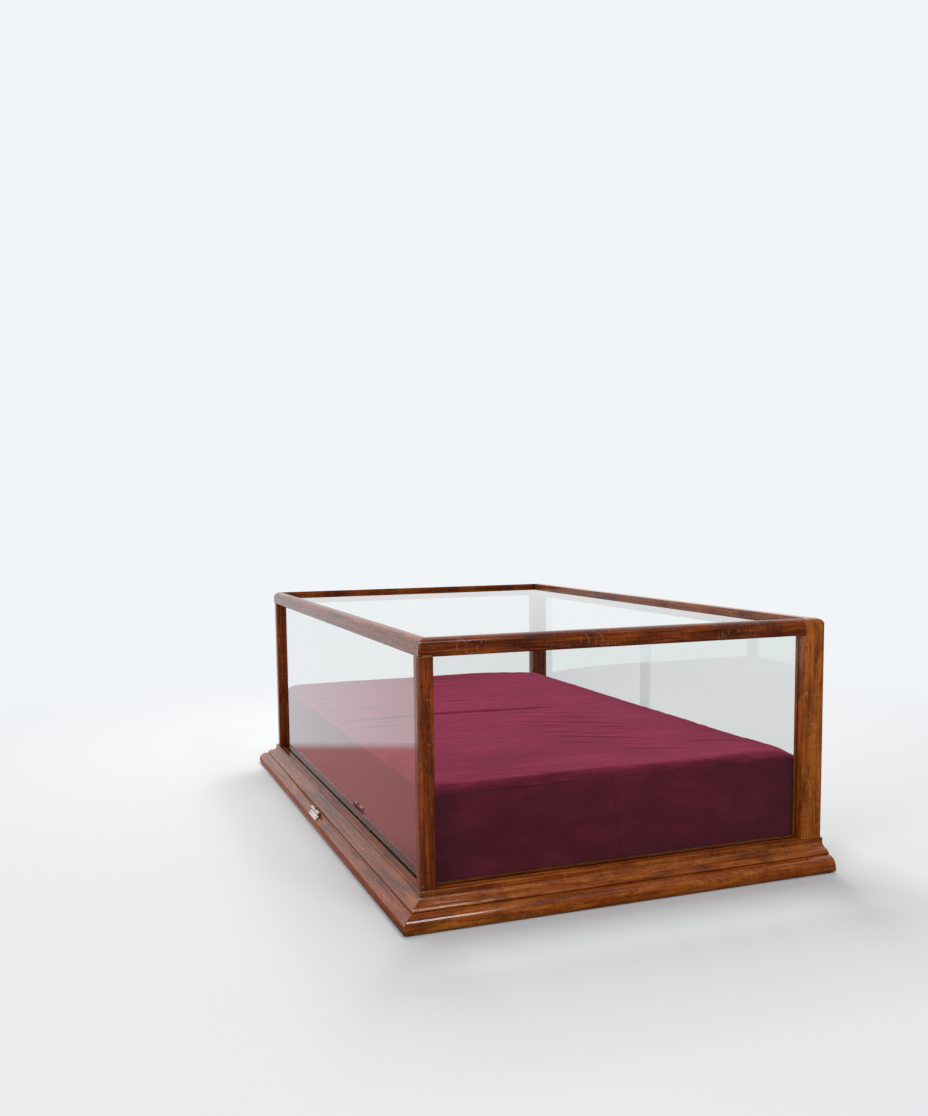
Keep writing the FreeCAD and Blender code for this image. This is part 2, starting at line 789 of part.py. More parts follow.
def build_doors():
    """A double-grooved sill and two plate-glass doors that pass each other."""
    outer_y = rear_face - size["track_setback"]
    sill_top = plinth_top + size["sill_height"]
    floor = sill_top - size["sill_groove_depth"]
    section = [(track_depth, plinth_top), (track_depth, sill_top)]
    for step in (1, 0):
        near = size["track_lip"] + step * track_pitch
        far = near + groove_width
        section += [(far, sill_top), (far, floor), (near, floor), (near, sill_top)]
    section += [(0, sill_top), (0, plinth_top)]
    sill = Member("door_sill")
    sill.pad("YZ", -post_side, post_side, mapped(section, outer_y, -1))
    finish(sill.body, "door_sill")

    foot = floor + size["door_floor_gap"]
    head = rail_low + size["door_entry"]
    closed_edge = post_side - size["door_stop_gap"]
    meeting_edge = size["door_overlap"] / 2
    middle = plinth_top + size["pull_rise"]
    for step, (side, sign) in enumerate(ENDS.items()):
        groove_outer = outer_y - size["track_lip"] - step * track_pitch
        face = groove_outer - size["door_play"]
        edges = sorted((sign * closed_edge, -sign * meeting_edge), key=lambda d: d.value)
        door = Member(f"door_{side}")
        door.pad("XZ", face - size["door_thickness"], face,
                 rectangle(edges[0], foot, edges[1], head))
        pull_x = sign * (closed_edge - size["pull_inset"])
        half, bend = size["pull_width"] / 2, size["pull_end_radius"]
        rise = size["pull_height"] / 2
        door.pocket("XZ", face - size["pull_depth"], face + 1.0, [[
            (pull_x + half, middle - rise, bend),
            (pull_x + half, middle + rise),
            (pull_x - half, middle + rise, bend),
            (pull_x - half, middle - rise),
        ]])
        finish(door.body, f"door_{side}")


# ---------------------------------------------------------------- bed

def build_bed():
    """A boarded bed with bearers and a lid, dressed in a pad and four skirts of cloth."""
    inset = size["cloth_thickness"] + size["soft_gap"]
    x_out, y_front, y_rear = bed_end - inset, bed_front + inset, bed_rear - inset
    thick = size["bed_board"]
    for name, low, high in (
            ("bed_front_board", (-x_out, y_front), (x_out, y_front + thick)),
            ("bed_rear_board", (-x_out, y_rear - thick), (x_out, y_rear)),
            ("bed_left_board", (-x_out, y_front + thick), (thick - x_out, y_rear - thick)),
            ("bed_right_board", (x_out - thick, y_front + thick), (x_out, y_rear - thick))):
        finish(block(name, (*low, plinth_top), (*high, lid_low)), name)
    bearers = []
    half = size["bearer_thickness"] / 2
    for step in (-1, 0, 1):
        x = step * size["bearer_pitch"]
        bearers.append(block(f"bearer_{len(bearers) + 1}",
                             (x - half, y_front + thick, lid_low - size["bearer_height"]),
                             (x + half, y_rear - thick, lid_low)))
    finish(group("bed_bearers", bearers), "bed_bearers")
    finish(block("bed_lid", (-x_out, y_front, lid_low), (x_out, y_rear, lid_top)), "bed_lid")

    pad = Member("bed_pad")
    pad.pad("XY", lid_top + size["soft_gap"], size["bed_top"],
            rectangle(-bed_end, bed_front, bed_end, bed_rear))
    top = size["bed_top"].value
    pad.round(size["pad_round"], lambda edge: abs(edge.CenterOfMass.z - top) < 1e-3)
    finish(pad.body, "bed_pad")

    low, high = plinth_top + size["skirt_lift"], lid_top
    cloth, gap = size["cloth_thickness"], size["soft_gap"]
    x_in = bed_end - cloth
    for name, near, far in (
            ("skirt_front", (gap - x_in, bed_front), (x_in - gap, bed_front + cloth)),
            ("skirt_rear", (gap - x_in, bed_rear - cloth), (x_in - gap, bed_rear)),
            ("skirt_left", (-bed_end, bed_front), (-x_in, bed_rear)),
            ("skirt_right", (x_in, bed_front), (bed_end, bed_rear))):
        finish(block(name, (*near, low), (*far, high)), name)


# ---------------------------------------------------------------- catch

def build_catch():
    """A sheet bent over the torus and rolled into a barrel, its screws, and the bolt inside."""
    run, rise = torus_centre()
    middle, half = size["catch_offset"], size["catch_length"] / 2
    inner = size["torus_radius"] + size["catch_gap"]
    outer = inner + size["catch_sheet"]

    def on_arc(distance, height):
        """Point at a height on a circle about the torus's centre."""
        up = height - rise
        return run - (distance * distance - up * up).root(), plinth_low + height

    sheet = Member("catch_sheet_stock")
    sheet.pad("YZ", middle - half, middle + half, mapped([
        on_arc(inner, size["catch_low"]),
        (*on_arc(inner, size["catch_high"]), -inner),
        on_arc(outer, size["catch_high"]),
        (*on_arc(outer, size["catch_low"]), outer),
    ], -half_depth, 1))

    radius = size["catch_barrel_radius"]
    barrel_run, barrel_z = on_arc(inner + radius, size["catch_barrel_rise"])
    y = barrel_run - half_depth
    barrel = rod("catch_barrel", radius, 2 * half, middle - half, y, barrel_z, "X")
    bore = rod("catch_bore", size["catch_bore_radius"], 2 * half + 2.0, middle - half - 1.0,
               y, barrel_z, "X")
    stud, travel = size["catch_stud_radius"], size["catch_travel"] / 2
    side = stud + 2 * size["screw_clearance"]
    slot = block("catch_slot", (middle - travel - side, y - side, barrel_z),
                 (middle + travel + side, y + side, barrel_z + radius + 1.0))
    holes = catch_screw_rods("catch_sheet_hole",
                             size["catch_screw_radius"] + size["screw_clearance"],
                             inner - 1.0, outer + 1.0)
    rolled = fuse("catch_rolled", [sheet.body, barrel])
    finish(cut("catch_plate", rolled, [bore, slot] + holes), "catch_plate")

    shanks = catch_screw_rods("catch_screw_shank", size["catch_screw_radius"],
                              size["torus_radius"] - size["catch_screw_bite"], outer)
    head_low = outer + 0.05
    heads = catch_screw_rods("catch_screw_head", size["catch_screw_head_radius"],
                             head_low, head_low + size["catch_screw_head"])
    necks = catch_screw_rods("catch_screw_neck", size["catch_screw_radius"], outer, head_low)
    screws = []
    for pieces in zip(shanks, necks, heads):
        screws.append(fuse(f"catch_screw_{len(screws) + 1}", list(pieces)))
    finish(group("catch_screws", screws), "catch_screws")

    start = middle + half - size["catch_bolt_inset"] - size["catch_bolt_length"]
    bolt_radius = size["catch_bolt_radius"]
    bolt = rod("catch_bolt_rod", bolt_radius, size["catch_bolt_length"], start, y, barrel_z, "X")
    foot = barrel_z + bolt_radius / 2
    knob = rod("catch_bolt_stud", stud,
               radius + size["catch_stud_height"] - bolt_radius / 2, middle - travel, y, foot)
    finish(fuse("catch_bolt", [bolt, knob]), "catch_bolt")


# ---------------------------------------------------------------- screws

def build_screws():
    """Screws that come up through the plinth into the feet of the posts."""
    screws = []
    seat = plinth_low + size["counterbore_depth"]
    for sign in (-1, 1):
        for y in screw_lines:
            name = f"post_screw_{len(screws) + 1}"
            head = rod(f"{name}_head", size["screw_head_radius"], size["screw_head_height"],
                       sign * screw_x, y, seat - size["screw_head_height"])
            shank = rod(f"{name}_shank", size["screw_radius"],
                        plinth_top + size["screw_bite"] - seat, sign * screw_x, y, seat)
            screws.append(fuse(name, [head, shank]))
    finish(group("post_screws", screws), "post_screws")


# ---------------------------------------------------------------- build, test and write

def check_document():
    """Stop if any object failed or any sub-part has no sound shape."""
    doc.recompute()
    for thing in doc.Objects:
        bad = [state for state in thing.State if state in ("Invalid", "Error")]
        if bad:
            raise RuntimeError(f"{thing.Name} is {bad}")
    for part in parts:
        if part.Shape.isNull() or not part.Shape.isValid() or not part.Shape.Solids:
            raise RuntimeError(f"{part.Label} has no sound shape")


def write_parts():
    """Write each sub-part to its own file."""
    os.makedirs("parts", exist_ok=True)
    for part in parts:
        part.Shape.exportStep(f"parts/{part.Label}.step")
        box = part.Shape.BoundBox
        print(f"{part.Label:20s} solids {len(part.Shape.Solids)}  x {box.XMin:8.2f} {box.XMax:8.2f}"
              f"  y {box.YMin:8.2f} {box.YMax:8.2f}  z {box.ZMin:7.2f} {box.ZMax:7.2f}")


build_plinth()
build_base()
front_rail, end_rails = build_rails()
build_posts(front_rail, end_rails)
build_glass()
build_pins()
build_doors()
build_bed()
build_catch()
build_screws()
check_document()
write_parts()
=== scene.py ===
"""Dressed model of a glazed counter display case with a velvet-covered bed."""
import logging
import math
from dataclasses import dataclass
from enum import Enum
from typing import Dict, List, Optional, Sequence, Tuple, Union

import bmesh
import bpy
import numpy as np
from mathutils import Matrix, Vector, noise


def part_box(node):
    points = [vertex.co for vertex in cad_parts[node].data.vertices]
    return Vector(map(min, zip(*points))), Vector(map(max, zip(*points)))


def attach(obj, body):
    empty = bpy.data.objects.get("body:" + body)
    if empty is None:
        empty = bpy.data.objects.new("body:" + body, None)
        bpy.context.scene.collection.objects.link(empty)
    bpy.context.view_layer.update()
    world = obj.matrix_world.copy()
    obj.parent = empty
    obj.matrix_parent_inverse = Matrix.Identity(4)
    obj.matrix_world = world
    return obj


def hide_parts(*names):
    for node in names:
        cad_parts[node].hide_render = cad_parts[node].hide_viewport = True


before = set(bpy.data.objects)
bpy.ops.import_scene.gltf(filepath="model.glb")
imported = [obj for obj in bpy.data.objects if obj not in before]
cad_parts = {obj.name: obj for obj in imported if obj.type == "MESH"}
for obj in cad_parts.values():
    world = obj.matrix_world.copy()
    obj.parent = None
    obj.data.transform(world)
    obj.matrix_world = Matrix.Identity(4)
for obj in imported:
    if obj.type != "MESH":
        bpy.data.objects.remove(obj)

log = logging.getLogger("display_case")
MM = 0.001
Pair = Tuple[float, float]
Triple = Tuple[float, float, float]
Colour = Tuple[float, float, float]
Pieces = List[bpy.types.Object]


# ---------------------------------------------------------------- shader sums

class Term:
    """A socket of a node tree that takes part in sums, as a number would."""

    def __init__(self, tree: "Tree", socket: bpy.types.NodeSocket) -> None:
        """Wrap one output socket of the tree."""
        self.tree = tree
        self.socket = socket

    def sum(self, operation: str, *values: Union[float, "Term"]) -> "Term":
        """Add one Math node.

        Args:
            operation: the node's operation, such as MULTIPLY.
            values: its inputs in order, numbers or terms.

        Returns:
            The node's result.
        """
        return self.tree.add("ShaderNodeMath", {"operation": operation}, dict(enumerate(values)))

    def __add__(self, other: Union[float, "Term"]) -> "Term":
        """Sum of the two."""
        return self.sum("ADD", self, other)

    def __sub__(self, other: Union[float, "Term"]) -> "Term":
        """This less the other."""
        return self.sum("SUBTRACT", self, other)

    def __rsub__(self, other: float) -> "Term":
        """A number less this."""
        return self.sum("SUBTRACT", other, self)

    def __mul__(self, other: Union[float, "Term"]) -> "Term":
        """Product of the two."""
        return self.sum("MULTIPLY", self, other)

    def __truediv__(self, other: Union[float, "Term"]) -> "Term":
        """This over the other."""
        return self.sum("DIVIDE", self, other)

    def __rtruediv__(self, other: float) -> "Term":
        """A number over this."""
        return self.sum("DIVIDE", other, self)

    __radd__ = __add__
    __rmul__ = __mul__

    def most(self, other: Union[float, "Term"]) -> "Term":
        """The larger of the two."""
        return self.sum("MAXIMUM", self, other)

    def beside(self, output: Union[int, str]) -> "Term":
        """Another output of the same node."""
        return Term(self.tree, self.socket.node.outputs[output])

    def step(self, low: float, high: float) -> "Term":
        """A soft step from 0 to 1.

        Args:
            low: the value that gives 0, which may be the larger of the two.
            high: the value that gives 1.

        Returns:
            The step.
        """
        inputs = {"Value": self, "From Min": low, "From Max": high}
        if low > high:
            inputs.update({"From Min": high, "From Max": low, "To Min": 1.0, "To Max": 0.0})
        return self.tree.add("ShaderNodeMapRange", {"interpolation_type": "SMOOTHSTEP"}, inputs)


Value = Union[float, Sequence[float], Term]
Settings = Dict[str, object]
Inputs = Dict[Union[int, str], Value]


@dataclass(frozen=True)
class Pattern:
    """Soft noise: how many blobs there are to a metre each way, and how they break up."""

    blobs: Triple
    detail: float = 3.0
    rough: float = 0.55
    bend: float = 0.0


class Tree:
    """The node tree of one material, or of the world."""

    def __init__(self, owner: Union[bpy.types.Material, bpy.types.World]) -> None:
        """Empty the owner's tree and keep it.

        Args:
            owner: the material or world that the nodes are for.
        """
        owner.use_nodes = True
        self.owner = owner
        self.nodes = owner.node_tree.nodes
        self.links = owner.node_tree.links
        self.nodes.clear()

    def node(self, kind: str, settings: Optional[Settings],
             inputs: Optional[Inputs]) -> bpy.types.Node:
        """Add any node.

        Args:
            kind: the node's type.
            settings: its own properties, set first. "stops" gives a ramp's stops.
            inputs: values or terms for its sockets, by name or place.

        Returns:
            The new node.
        """
        node = self.nodes.new(kind)
        for name, setting in (settings or {}).items():
            if name == "stops":
                self.set_stops(node.color_ramp, setting)
            else:
                setattr(node, name, setting)
        for name, value in (inputs or {}).items():
            socket = node.inputs[name]
            if isinstance(value, Term):
                self.links.new(value.socket, socket)
            elif isinstance(value, (int, float)):
                socket.default_value = value
            else:
                missing = len(socket.default_value) - len(value)
                socket.default_value = tuple(value) + (1.0,) * missing
        return node

    def add(self, kind: str, settings: Optional[Settings] = None,
            inputs: Optional[Inputs] = None, output: Union[int, str] = 0) -> Term:
        """Add a node, as node does, and return one of its outputs."""
        return Term(self, self.node(kind, settings, inputs).outputs[output])

    @staticmethod
    def set_stops(ramp: bpy.types.ColorRamp, stops: Sequence[Tuple[float, Colour]]) -> None:
        """Give a ramp its stops.

        Args:
            ramp: the ramp of a new node.
            stops: the place and colour of each stop.
        """
        while len(ramp.elements) < len(stops):
            ramp.elements.new(1.0)
        for element, (place, colour) in zip(ramp.elements, stops):
            element.position = place
            element.color = (*colour, 1.0)

    def mix(self, share: Union[float, Term], first: Value, second: Value) -> Term:
        """First colour where share is 0 and second where it is 1."""
        return self.add("ShaderNodeMix", {"data_type": "RGBA"}, {0: share, 6: first, 7: second}, 2)

    def blend(self, share: Union[float, Term], first: Term, second: Term) -> Term:
        """First shader where share is 0 and second where it is 1."""
        return self.add("ShaderNodeMixShader", None, {0: share, 1: first, 2: second})

    def glow(self, colour: Value) -> Term:
        """A plain colour that needs no light."""
        return self.add("ShaderNodeEmission", None, {"Color": colour, "Strength": 1.0})

    def vector(self, x: Value, y: Value, z: Value) -> Term:
        """A vector from three numbers or terms."""
        return self.add("ShaderNodeCombineXYZ", None, {0: x, 1: y, 2: z})

    def place(self) -> Term:
        """Place on the piece, in metres, which moves with the piece."""
        return self.add("ShaderNodeTexCoord", None, None, "Object")

    def axes(self, vector: Term) -> List[Term]:
        """The three parts of a vector."""
        parts = self.add("ShaderNodeSeparateXYZ", None, {0: vector})
        return [parts.beside(index) for index in range(3)]

    def cloud(self, place: Term, pattern: Pattern) -> Term:
        """Lay a soft pattern on a surface.

        Args:
            place: where a point is, in metres.
            pattern: the pattern's measures.

        Returns:
            A noise of about 0.5.
        """
        vector = self.add("ShaderNodeVectorMath", {"operation": "MULTIPLY"},
                          {0: place, 1: pattern.blobs})
        return self.add("ShaderNodeTexNoise", None, {
            "Vector": vector, "Scale": 1.0, "Detail": pattern.detail,
            "Roughness": pattern.rough, "Distortion": pattern.bend})

    def spots(self, place: Term, count: float) -> Term:
        """How far off the nearest of scattered points is, as a share of their spacing."""
        return self.add("ShaderNodeTexVoronoi", None, {"Vector": place, "Scale": count}, "Distance")

    def ramp(self, tone: Term, places: Sequence[float], colours: Sequence[Colour]) -> Term:
        """Turn a tone into a colour, with a stop at each place."""
        return self.add("ShaderNodeValToRGB", {"stops": list(zip(places, colours))}, {0: tone})

    def crevice(self, distance: float, inside: bool, alone: bool) -> Term:
        """How hemmed in a point is, 0 in the open.

        Args:
            distance: how far away a surface still counts.
            inside: look into the solid, which finds outer edges, and not out of it.
            alone: count only the piece itself.

        Returns:
            The share of directions that meet a surface.
        """
        settings = {"samples": 6, "inside": inside, "only_local": alone}
        return 1 - self.add("ShaderNodeAmbientOcclusion", settings, {"Distance": distance}, "AO")

    def bump(self, height: Term, depth: float, strength: float) -> Term:
        """A normal from a height of 0 to 1, where 1 stands for depth in metres."""
        inputs = {"Height": height, "Distance": depth, "Strength": strength}
        return self.add("ShaderNodeBump", None, inputs)

    def surface(self, shader: Term) -> Union[bpy.types.Material, bpy.types.World]:
        """Let a shader be what shows.

        Args:
            shader: the finished shader.

        Returns:
            The material or world that it is for.
        """
        kind = "World" if isinstance(self.owner, bpy.types.World) else "Material"
        self.node(f"ShaderNodeOutput{kind}", None, {"Surface": shader})
        return self.owner

    def principled(self, inputs: Inputs) -> bpy.types.Material:
        """Finish the material with one Principled shader."""
        return self.surface(self.add("ShaderNodeBsdfPrincipled", None, inputs))


def new_tree(name: str) -> Tree:
    """The empty tree of a new material."""
    return Tree(bpy.data.materials.new(name))


# ---------------------------------------------------------------- finishes

class Grain(Enum):
    """The way that a board's grain runs, as places along it and across it."""

    ALONG_X = (0, 1, 2)
    ALONG_Y = (1, 0, 2)
    ALONG_Z = (2, 0, 1)


@dataclass(frozen=True)
class Timber:
    """A planed wood under shellac, wax or nothing."""

    name: str
    dark: Colour
    middle: Colour
    warm: Colour
    light: Colour
    worn: Colour
    # Colour of dirt in the pores and of painted shade in corners and joints.
    grime_and_shade: Colour
    roughness: float
    coat: float
    edge_wear: float
    # How far painted shade and dirt darken the corners.
    soiling_and_shade: float
    knocks: float
    stops: Sequence[float] = (0.27, 0.44, 0.58, 0.74)
    contrast: float = 1.75
    streaks: Pattern = Pattern((12.0, 300.0, 300.0), 6.0, 0.76, 0.5)
    figure: Pattern = Pattern((7.0, 60.0, 60.0), 3.0, 0.6, 1.2)
    mottle: Pattern = Pattern((22.0, 48.0, 48.0), 4.0, 0.6)
    ripple: Pattern = Pattern((190.0, 38.0, 38.0), 3.0, 0.6, 1.4)
    pores: Pattern = Pattern((140.0, 1300.0, 1300.0), 1.0, 0.5)
    scratches: Pattern = Pattern((32.0, 900.0, 90.0), 1.0, 0.4)
    handled: Pattern = Pattern((24.0, 24.0, 24.0), 2.0)
    dents: float = 62.0
    board_shift: Triple = (3.7, 0.31, 0.53)
    arris_reach: float = 2.2 * MM
    corner_reach: float = 6.0 * MM
    joint_reach: float = 1.6 * MM
    relief: float = 0.6 * MM

    def material(self, grain: Grain) -> bpy.types.Material:
        """Make the wood for one grain direction.

        Args:
            grain: the way the board runs.

        Returns:
            The material.
        """
        tree = new_tree(f"{self.name}_{grain.name.lower()}")
        along, across, through = self.board_axes(tree, grain)
        place = tree.vector(along, across, through)
        streaks = tree.cloud(place, self.streaks)
        figure = tree.cloud(place, self.figure)
        mottle = tree.cloud(place, self.mottle)
        ripple = tree.cloud(place, self.ripple)
        pores = tree.cloud(place, self.pores).step(0.56, 0.68)
        # Per-board tone offset, partly real differences between boards and partly painted light:
        # post_rear_right is lightened as if lit.
        shade = tree.add("ShaderNodeAttribute", {"attribute_name": "shade"}, None, "Fac")
        grown = streaks * 0.56 + figure * 0.32 + ripple * 0.12
        tone = (grown - 0.5) * self.contrast + 0.5 + shade
        colour = tree.ramp(tone, self.stops, (self.dark, self.middle, self.warm, self.light))
        colour = tree.mix(mottle.step(0.54, 0.30) * 0.55, colour, self.dark)
        colour = tree.mix(pores * 0.6, colour, self.grime_and_shade)
        arrises = tree.crevice(self.arris_reach, True, True)
        rubbed = arrises.step(0.30, 0.62) * mottle.step(0.36, 0.60)
        colour = tree.mix(rubbed * self.edge_wear, colour, self.worn)
        # Painted shade and dirt: corners and places beside other parts darken towards the grime
        # colour.
        hidden = tree.crevice(self.corner_reach, False, False).step(0.42, 0.92)
        colour = tree.mix(hidden * self.soiling_and_shade, colour, self.grime_and_shade)
        # Dark joint lines, which also paint shade into every tight crevice.
        joints = tree.crevice(self.joint_reach, False, False).step(0.28, 0.70)
        colour = tree.mix(joints * 0.85, colour, self.grime_and_shade)
        pits = self.pits_at(tree, place)
        scratches = self.scratches_at(tree, place, along, across, through)
        colour = tree.mix(pits * self.knocks * 0.75, colour, self.worn)
        colour = tree.mix(scratches * self.knocks * 0.34, colour, self.worn)
        height = streaks * 0.10 + mottle * 0.4 - pores * 0.08
        height = height - pits * self.knocks * 0.8 - scratches * self.knocks * 0.10
        rough = self.roughness + (mottle - 0.5) * 0.15 + rubbed * 0.12 + hidden * 0.25
        return tree.principled({
            "Base Color": colour, "Roughness": rough, "Specular IOR Level": 0.12,
            "Coat Weight": self.coat, "Coat Roughness": 0.11, "Coat IOR": 1.5,
            "Normal": tree.bump(height, self.relief, 0.6)})

    def board_axes(self, tree: Tree, grain: Grain) -> List[Term]:
        """Place on one board, shifted so that no two boards match.

        Args:
            tree: the wood's tree.
            grain: the way the board runs.

        Returns:
            The place along, across and through the board.
        """
        axes = tree.axes(tree.place())
        board = tree.add("ShaderNodeAttribute", {"attribute_name": "board"}, None, "Fac")
        return [axes[index] + board * shift for index, shift in zip(grain.value, self.board_shift)]

    def pits_at(self, tree: Tree, place: Term) -> Term:
        """Small dents, in about a third of the cells of a net.

        Args:
            tree: the wood's tree.
            place: where a point of the board is.

        Returns:
            0 in the open and 1 in a dent.
        """
        spots = tree.spots(place, self.dents)
        red = tree.add("ShaderNodeSeparateColor", None, {0: spots.beside("Color")})
        return spots.step(0.085, 0.04) * red.step(0.56, 0.60)

    def scratches_at(self, tree: Tree, place: Term, along: Term, across: Term,
                     through: Term) -> Term:
        """Fine scratches, slanting over the grain where hands and cloths go.

        Args:
            tree: the wood's tree.
            place: where a point of the board is.
            along: the same along the grain.
            across: the same across it.
            through: the same through the board.

        Returns:
            0 in the open and 1 in a scratch.
        """
        run, side = along * 0.89 + across * 0.45, across * 0.89 - along * 0.45
        lines = tree.cloud(tree.vector(run, side, through), self.scratches)
        return lines.step(0.64, 0.70) * tree.cloud(place, self.handled).step(0.50, 0.62)


@dataclass(frozen=True)
class Velvet:
    """Cotton velvet: a short pile that shades with its lie and pales at a glance."""

    name: str
    deep: Colour
    body: Colour
    pale: Colour
    tip: Colour
    lint: Colour
    stops: Sequence[float] = (0.30, 0.5, 0.72)
    lie: Pattern = Pattern((9.0, 6.0, 14.0), 3.0, 0.6, 0.7)
    strokes: Pattern = Pattern((85.0, 20.0, 40.0), 3.0, 0.62, 0.4)
    drags: Pattern = Pattern((120.0, 7.0, 12.0), 2.0, 0.5, 0.3)
    weave: Pattern = Pattern((260.0, 420.0, 420.0), 1.0, 0.5)
    specks: float = 58.0
    # Reach of the painted shade in folds.
    fold_shade_reach: float = 5.0 * MM
    relief: float = 1.2 * MM

    def material(self) -> bpy.types.Material:
        """Make the cloth.

        Returns:
            The material.
        """
        tree = new_tree(self.name)
        place = tree.place()
        lie = tree.cloud(place, self.lie)
        strokes = tree.cloud(place, self.strokes)
        drags = tree.cloud(place, self.drags)
        weave = tree.cloud(place, self.weave)
        normal = tree.add("ShaderNodeNewGeometry", None, None, "Normal")
        flat = tree.axes(normal)[2].step(0.4, 0.9)
        blend = lie * 0.35 + strokes * 0.35 + (drags - 0.5) * flat * 0.25 + weave * 0.10
        tone = (blend - 0.4) * (flat * 0.4 + 0.8) + 0.5
        colour = tree.ramp(tone, self.stops, (self.deep, self.body, self.pale))
        # Painted shade: the cloth darkens in folds, creases and where the top meets the skirt.
        folds = tree.crevice(self.fold_shade_reach, False, False).step(0.18, 0.75)
        colour = tree.mix(folds * 0.8, colour, tuple(c * 0.3 for c in self.deep))
        lint = tree.spots(place, self.specks).step(0.035, 0.015)
        colour = tree.mix(lint * 0.5, colour, self.lint)
        return tree.principled({
            "Base Color": colour, "Roughness": 0.88 + (lie - 0.5) * 0.2,
            "Specular IOR Level": 0.0, "Sheen Weight": 1.0, "Sheen Roughness": 0.38,
            "Sheen Tint": self.tip,
            "Normal": tree.bump(drags * flat + lie * 0.6, self.relief, 0.6)})


@dataclass(frozen=True)
class Baize:
    """Felted wool under the corners."""

    name: str
    body: Colour
    fluff: Colour
    fibres: Pattern = Pattern((2200.0, 2200.0, 2200.0), 3.0, 0.7)
    clumps: Pattern = Pattern((160.0, 160.0, 160.0))
    relief: float = 0.5 * MM

    def material(self) -> bpy.types.Material:
        """Make the felt.

        Returns:
            The material.
        """
        tree = new_tree(self.name)
        place = tree.place()
        fibres, clumps = tree.cloud(place, self.fibres), tree.cloud(place, self.clumps)
        colour = tree.mix((fibres * 0.6 + clumps * 0.4).step(0.4, 0.66), self.body, self.fluff)
        return tree.principled({
            "Base Color": colour, "Roughness": 0.9 + (clumps - 0.5) * 0.1,
            "Sheen Weight": 0.4, "Normal": tree.bump(fibres, self.relief, 0.7)})


@dataclass(frozen=True)
class Metal:
    """A worn metal: its plate where it is sound, and what shows where it isn't."""

    name: str
    bright: Colour
    tarnish: Colour
    roughness: float
    cloudy: Pattern = Pattern((240.0, 240.0, 240.0), 4.0, 0.6)
    brushed: Pattern = Pattern((300.0, 2600.0, 2600.0), 2.0, 0.6)
    corner_reach: float = 1.5 * MM
    relief: float = 0.12 * MM

    def material(self) -> bpy.types.Material:
        """Make the metal.

        Returns:
            The material.
        """
        tree = new_tree(self.name)
        place = tree.place()
        cloudy, brushed = tree.cloud(place, self.cloudy), tree.cloud(place, self.brushed)
        dull = cloudy.step(0.52, 0.68)
        hidden = tree.crevice(self.corner_reach, False, False).step(0.3, 0.9)
        colour = tree.mix(dull * 0.7, self.bright, self.tarnish)
        colour = tree.mix(hidden * 0.7, colour, tuple(c * 0.25 for c in self.tarnish))
        return tree.principled({
            "Base Color": colour, "Metallic": 1 - dull * 0.35,
            "Roughness": self.roughness + dull * 0.22 + (brushed - 0.5) * 0.12,
            "Normal": tree.bump(brushed * 0.4 + cloudy * 0.6, self.relief, 0.5)})


@dataclass(frozen=True)
class PlateGlass:
    """Old polished plate: clear face on, mirror-like at a glance, with a few wiped smears."""

    name: str
    tint: Colour
    mirror: Colour
    smears: float
    wiped: Pattern = Pattern((9.0, 14.0, 5.0), 4.0, 0.6, 1.2)
    specks: float = 42.0

    def material(self) -> bpy.types.Material:
        """Make the glass, as a thin surface whose far faces are only clear.

        Returns:
            The material.
        """
        tree = new_tree(self.name)
        place = tree.place()
        wiped = tree.cloud(place, self.wiped).step(0.5, 0.75)
        face = tree.add("ShaderNodeFresnel", None, {"IOR": 1.5})
        both = face * 2 / (face + 1)
        far = tree.add("ShaderNodeNewGeometry", None, None, "Backfacing")
        dirt = tree.spots(place, self.specks).step(0.022, 0.010) * 0.5 + wiped * 0.012
        shine = tree.add("ShaderNodeBsdfPrincipled", None, {
            "Base Color": self.mirror, "Metallic": 1.0, "Roughness": wiped * self.smears + 0.01})
        clear = tree.add("ShaderNodeBsdfTransparent", None, {"Color": self.tint})
        return tree.surface(tree.blend(both.most(dirt) * (1 - far), clear, shine))


MAHOGANY = Timber(
    name="mahogany", dark=(0.065, 0.0095, 0.0012), middle=(0.215, 0.035, 0.0025),
    warm=(0.385, 0.078, 0.004), light=(0.56, 0.165, 0.016), worn=(0.56, 0.28, 0.12),
    grime_and_shade=(0.012, 0.004, 0.002), roughness=0.50, coat=0.72, edge_wear=0.5, soiling_and_shade=0.75,
    knocks=1.0)
PINE = Timber(
    name="pine", dark=(0.30, 0.17, 0.075), middle=(0.44, 0.28, 0.13), warm=(0.50, 0.33, 0.17),
    light=(0.58, 0.41, 0.23), worn=(0.50, 0.36, 0.22), grime_and_shade=(0.10, 0.06, 0.035),
    roughness=0.72, coat=0.0, edge_wear=0.15, soiling_and_shade=0.6, knocks=0.4)
VELVET = Velvet(
    name="burgundy_velvet", deep=(0.070, 0.004, 0.010), body=(0.145, 0.010, 0.027),
    pale=(0.29, 0.027, 0.066), tip=(1.0, 0.18, 0.35), lint=(0.55, 0.42, 0.42))
BAIZE = Baize(name="green_baize", body=(0.035, 0.10, 0.045), fluff=(0.09, 0.20, 0.10))
NICKEL = Metal(name="old_nickel", bright=(0.72, 0.71, 0.66), tarnish=(0.34, 0.31, 0.26),
               roughness=0.24)
BRASS = Metal(name="dull_brass", bright=(0.72, 0.53, 0.27), tarnish=(0.30, 0.20, 0.10),
              roughness=0.32)
STEEL = Metal(name="plain_steel", bright=(0.42, 0.41, 0.40), tarnish=(0.16, 0.11, 0.08),
              roughness=0.42)
GLASS = PlateGlass(name="plate_glass", tint=(0.975, 0.985, 0.980), mirror=(0.96, 0.97, 0.965),
                   smears=0.05)


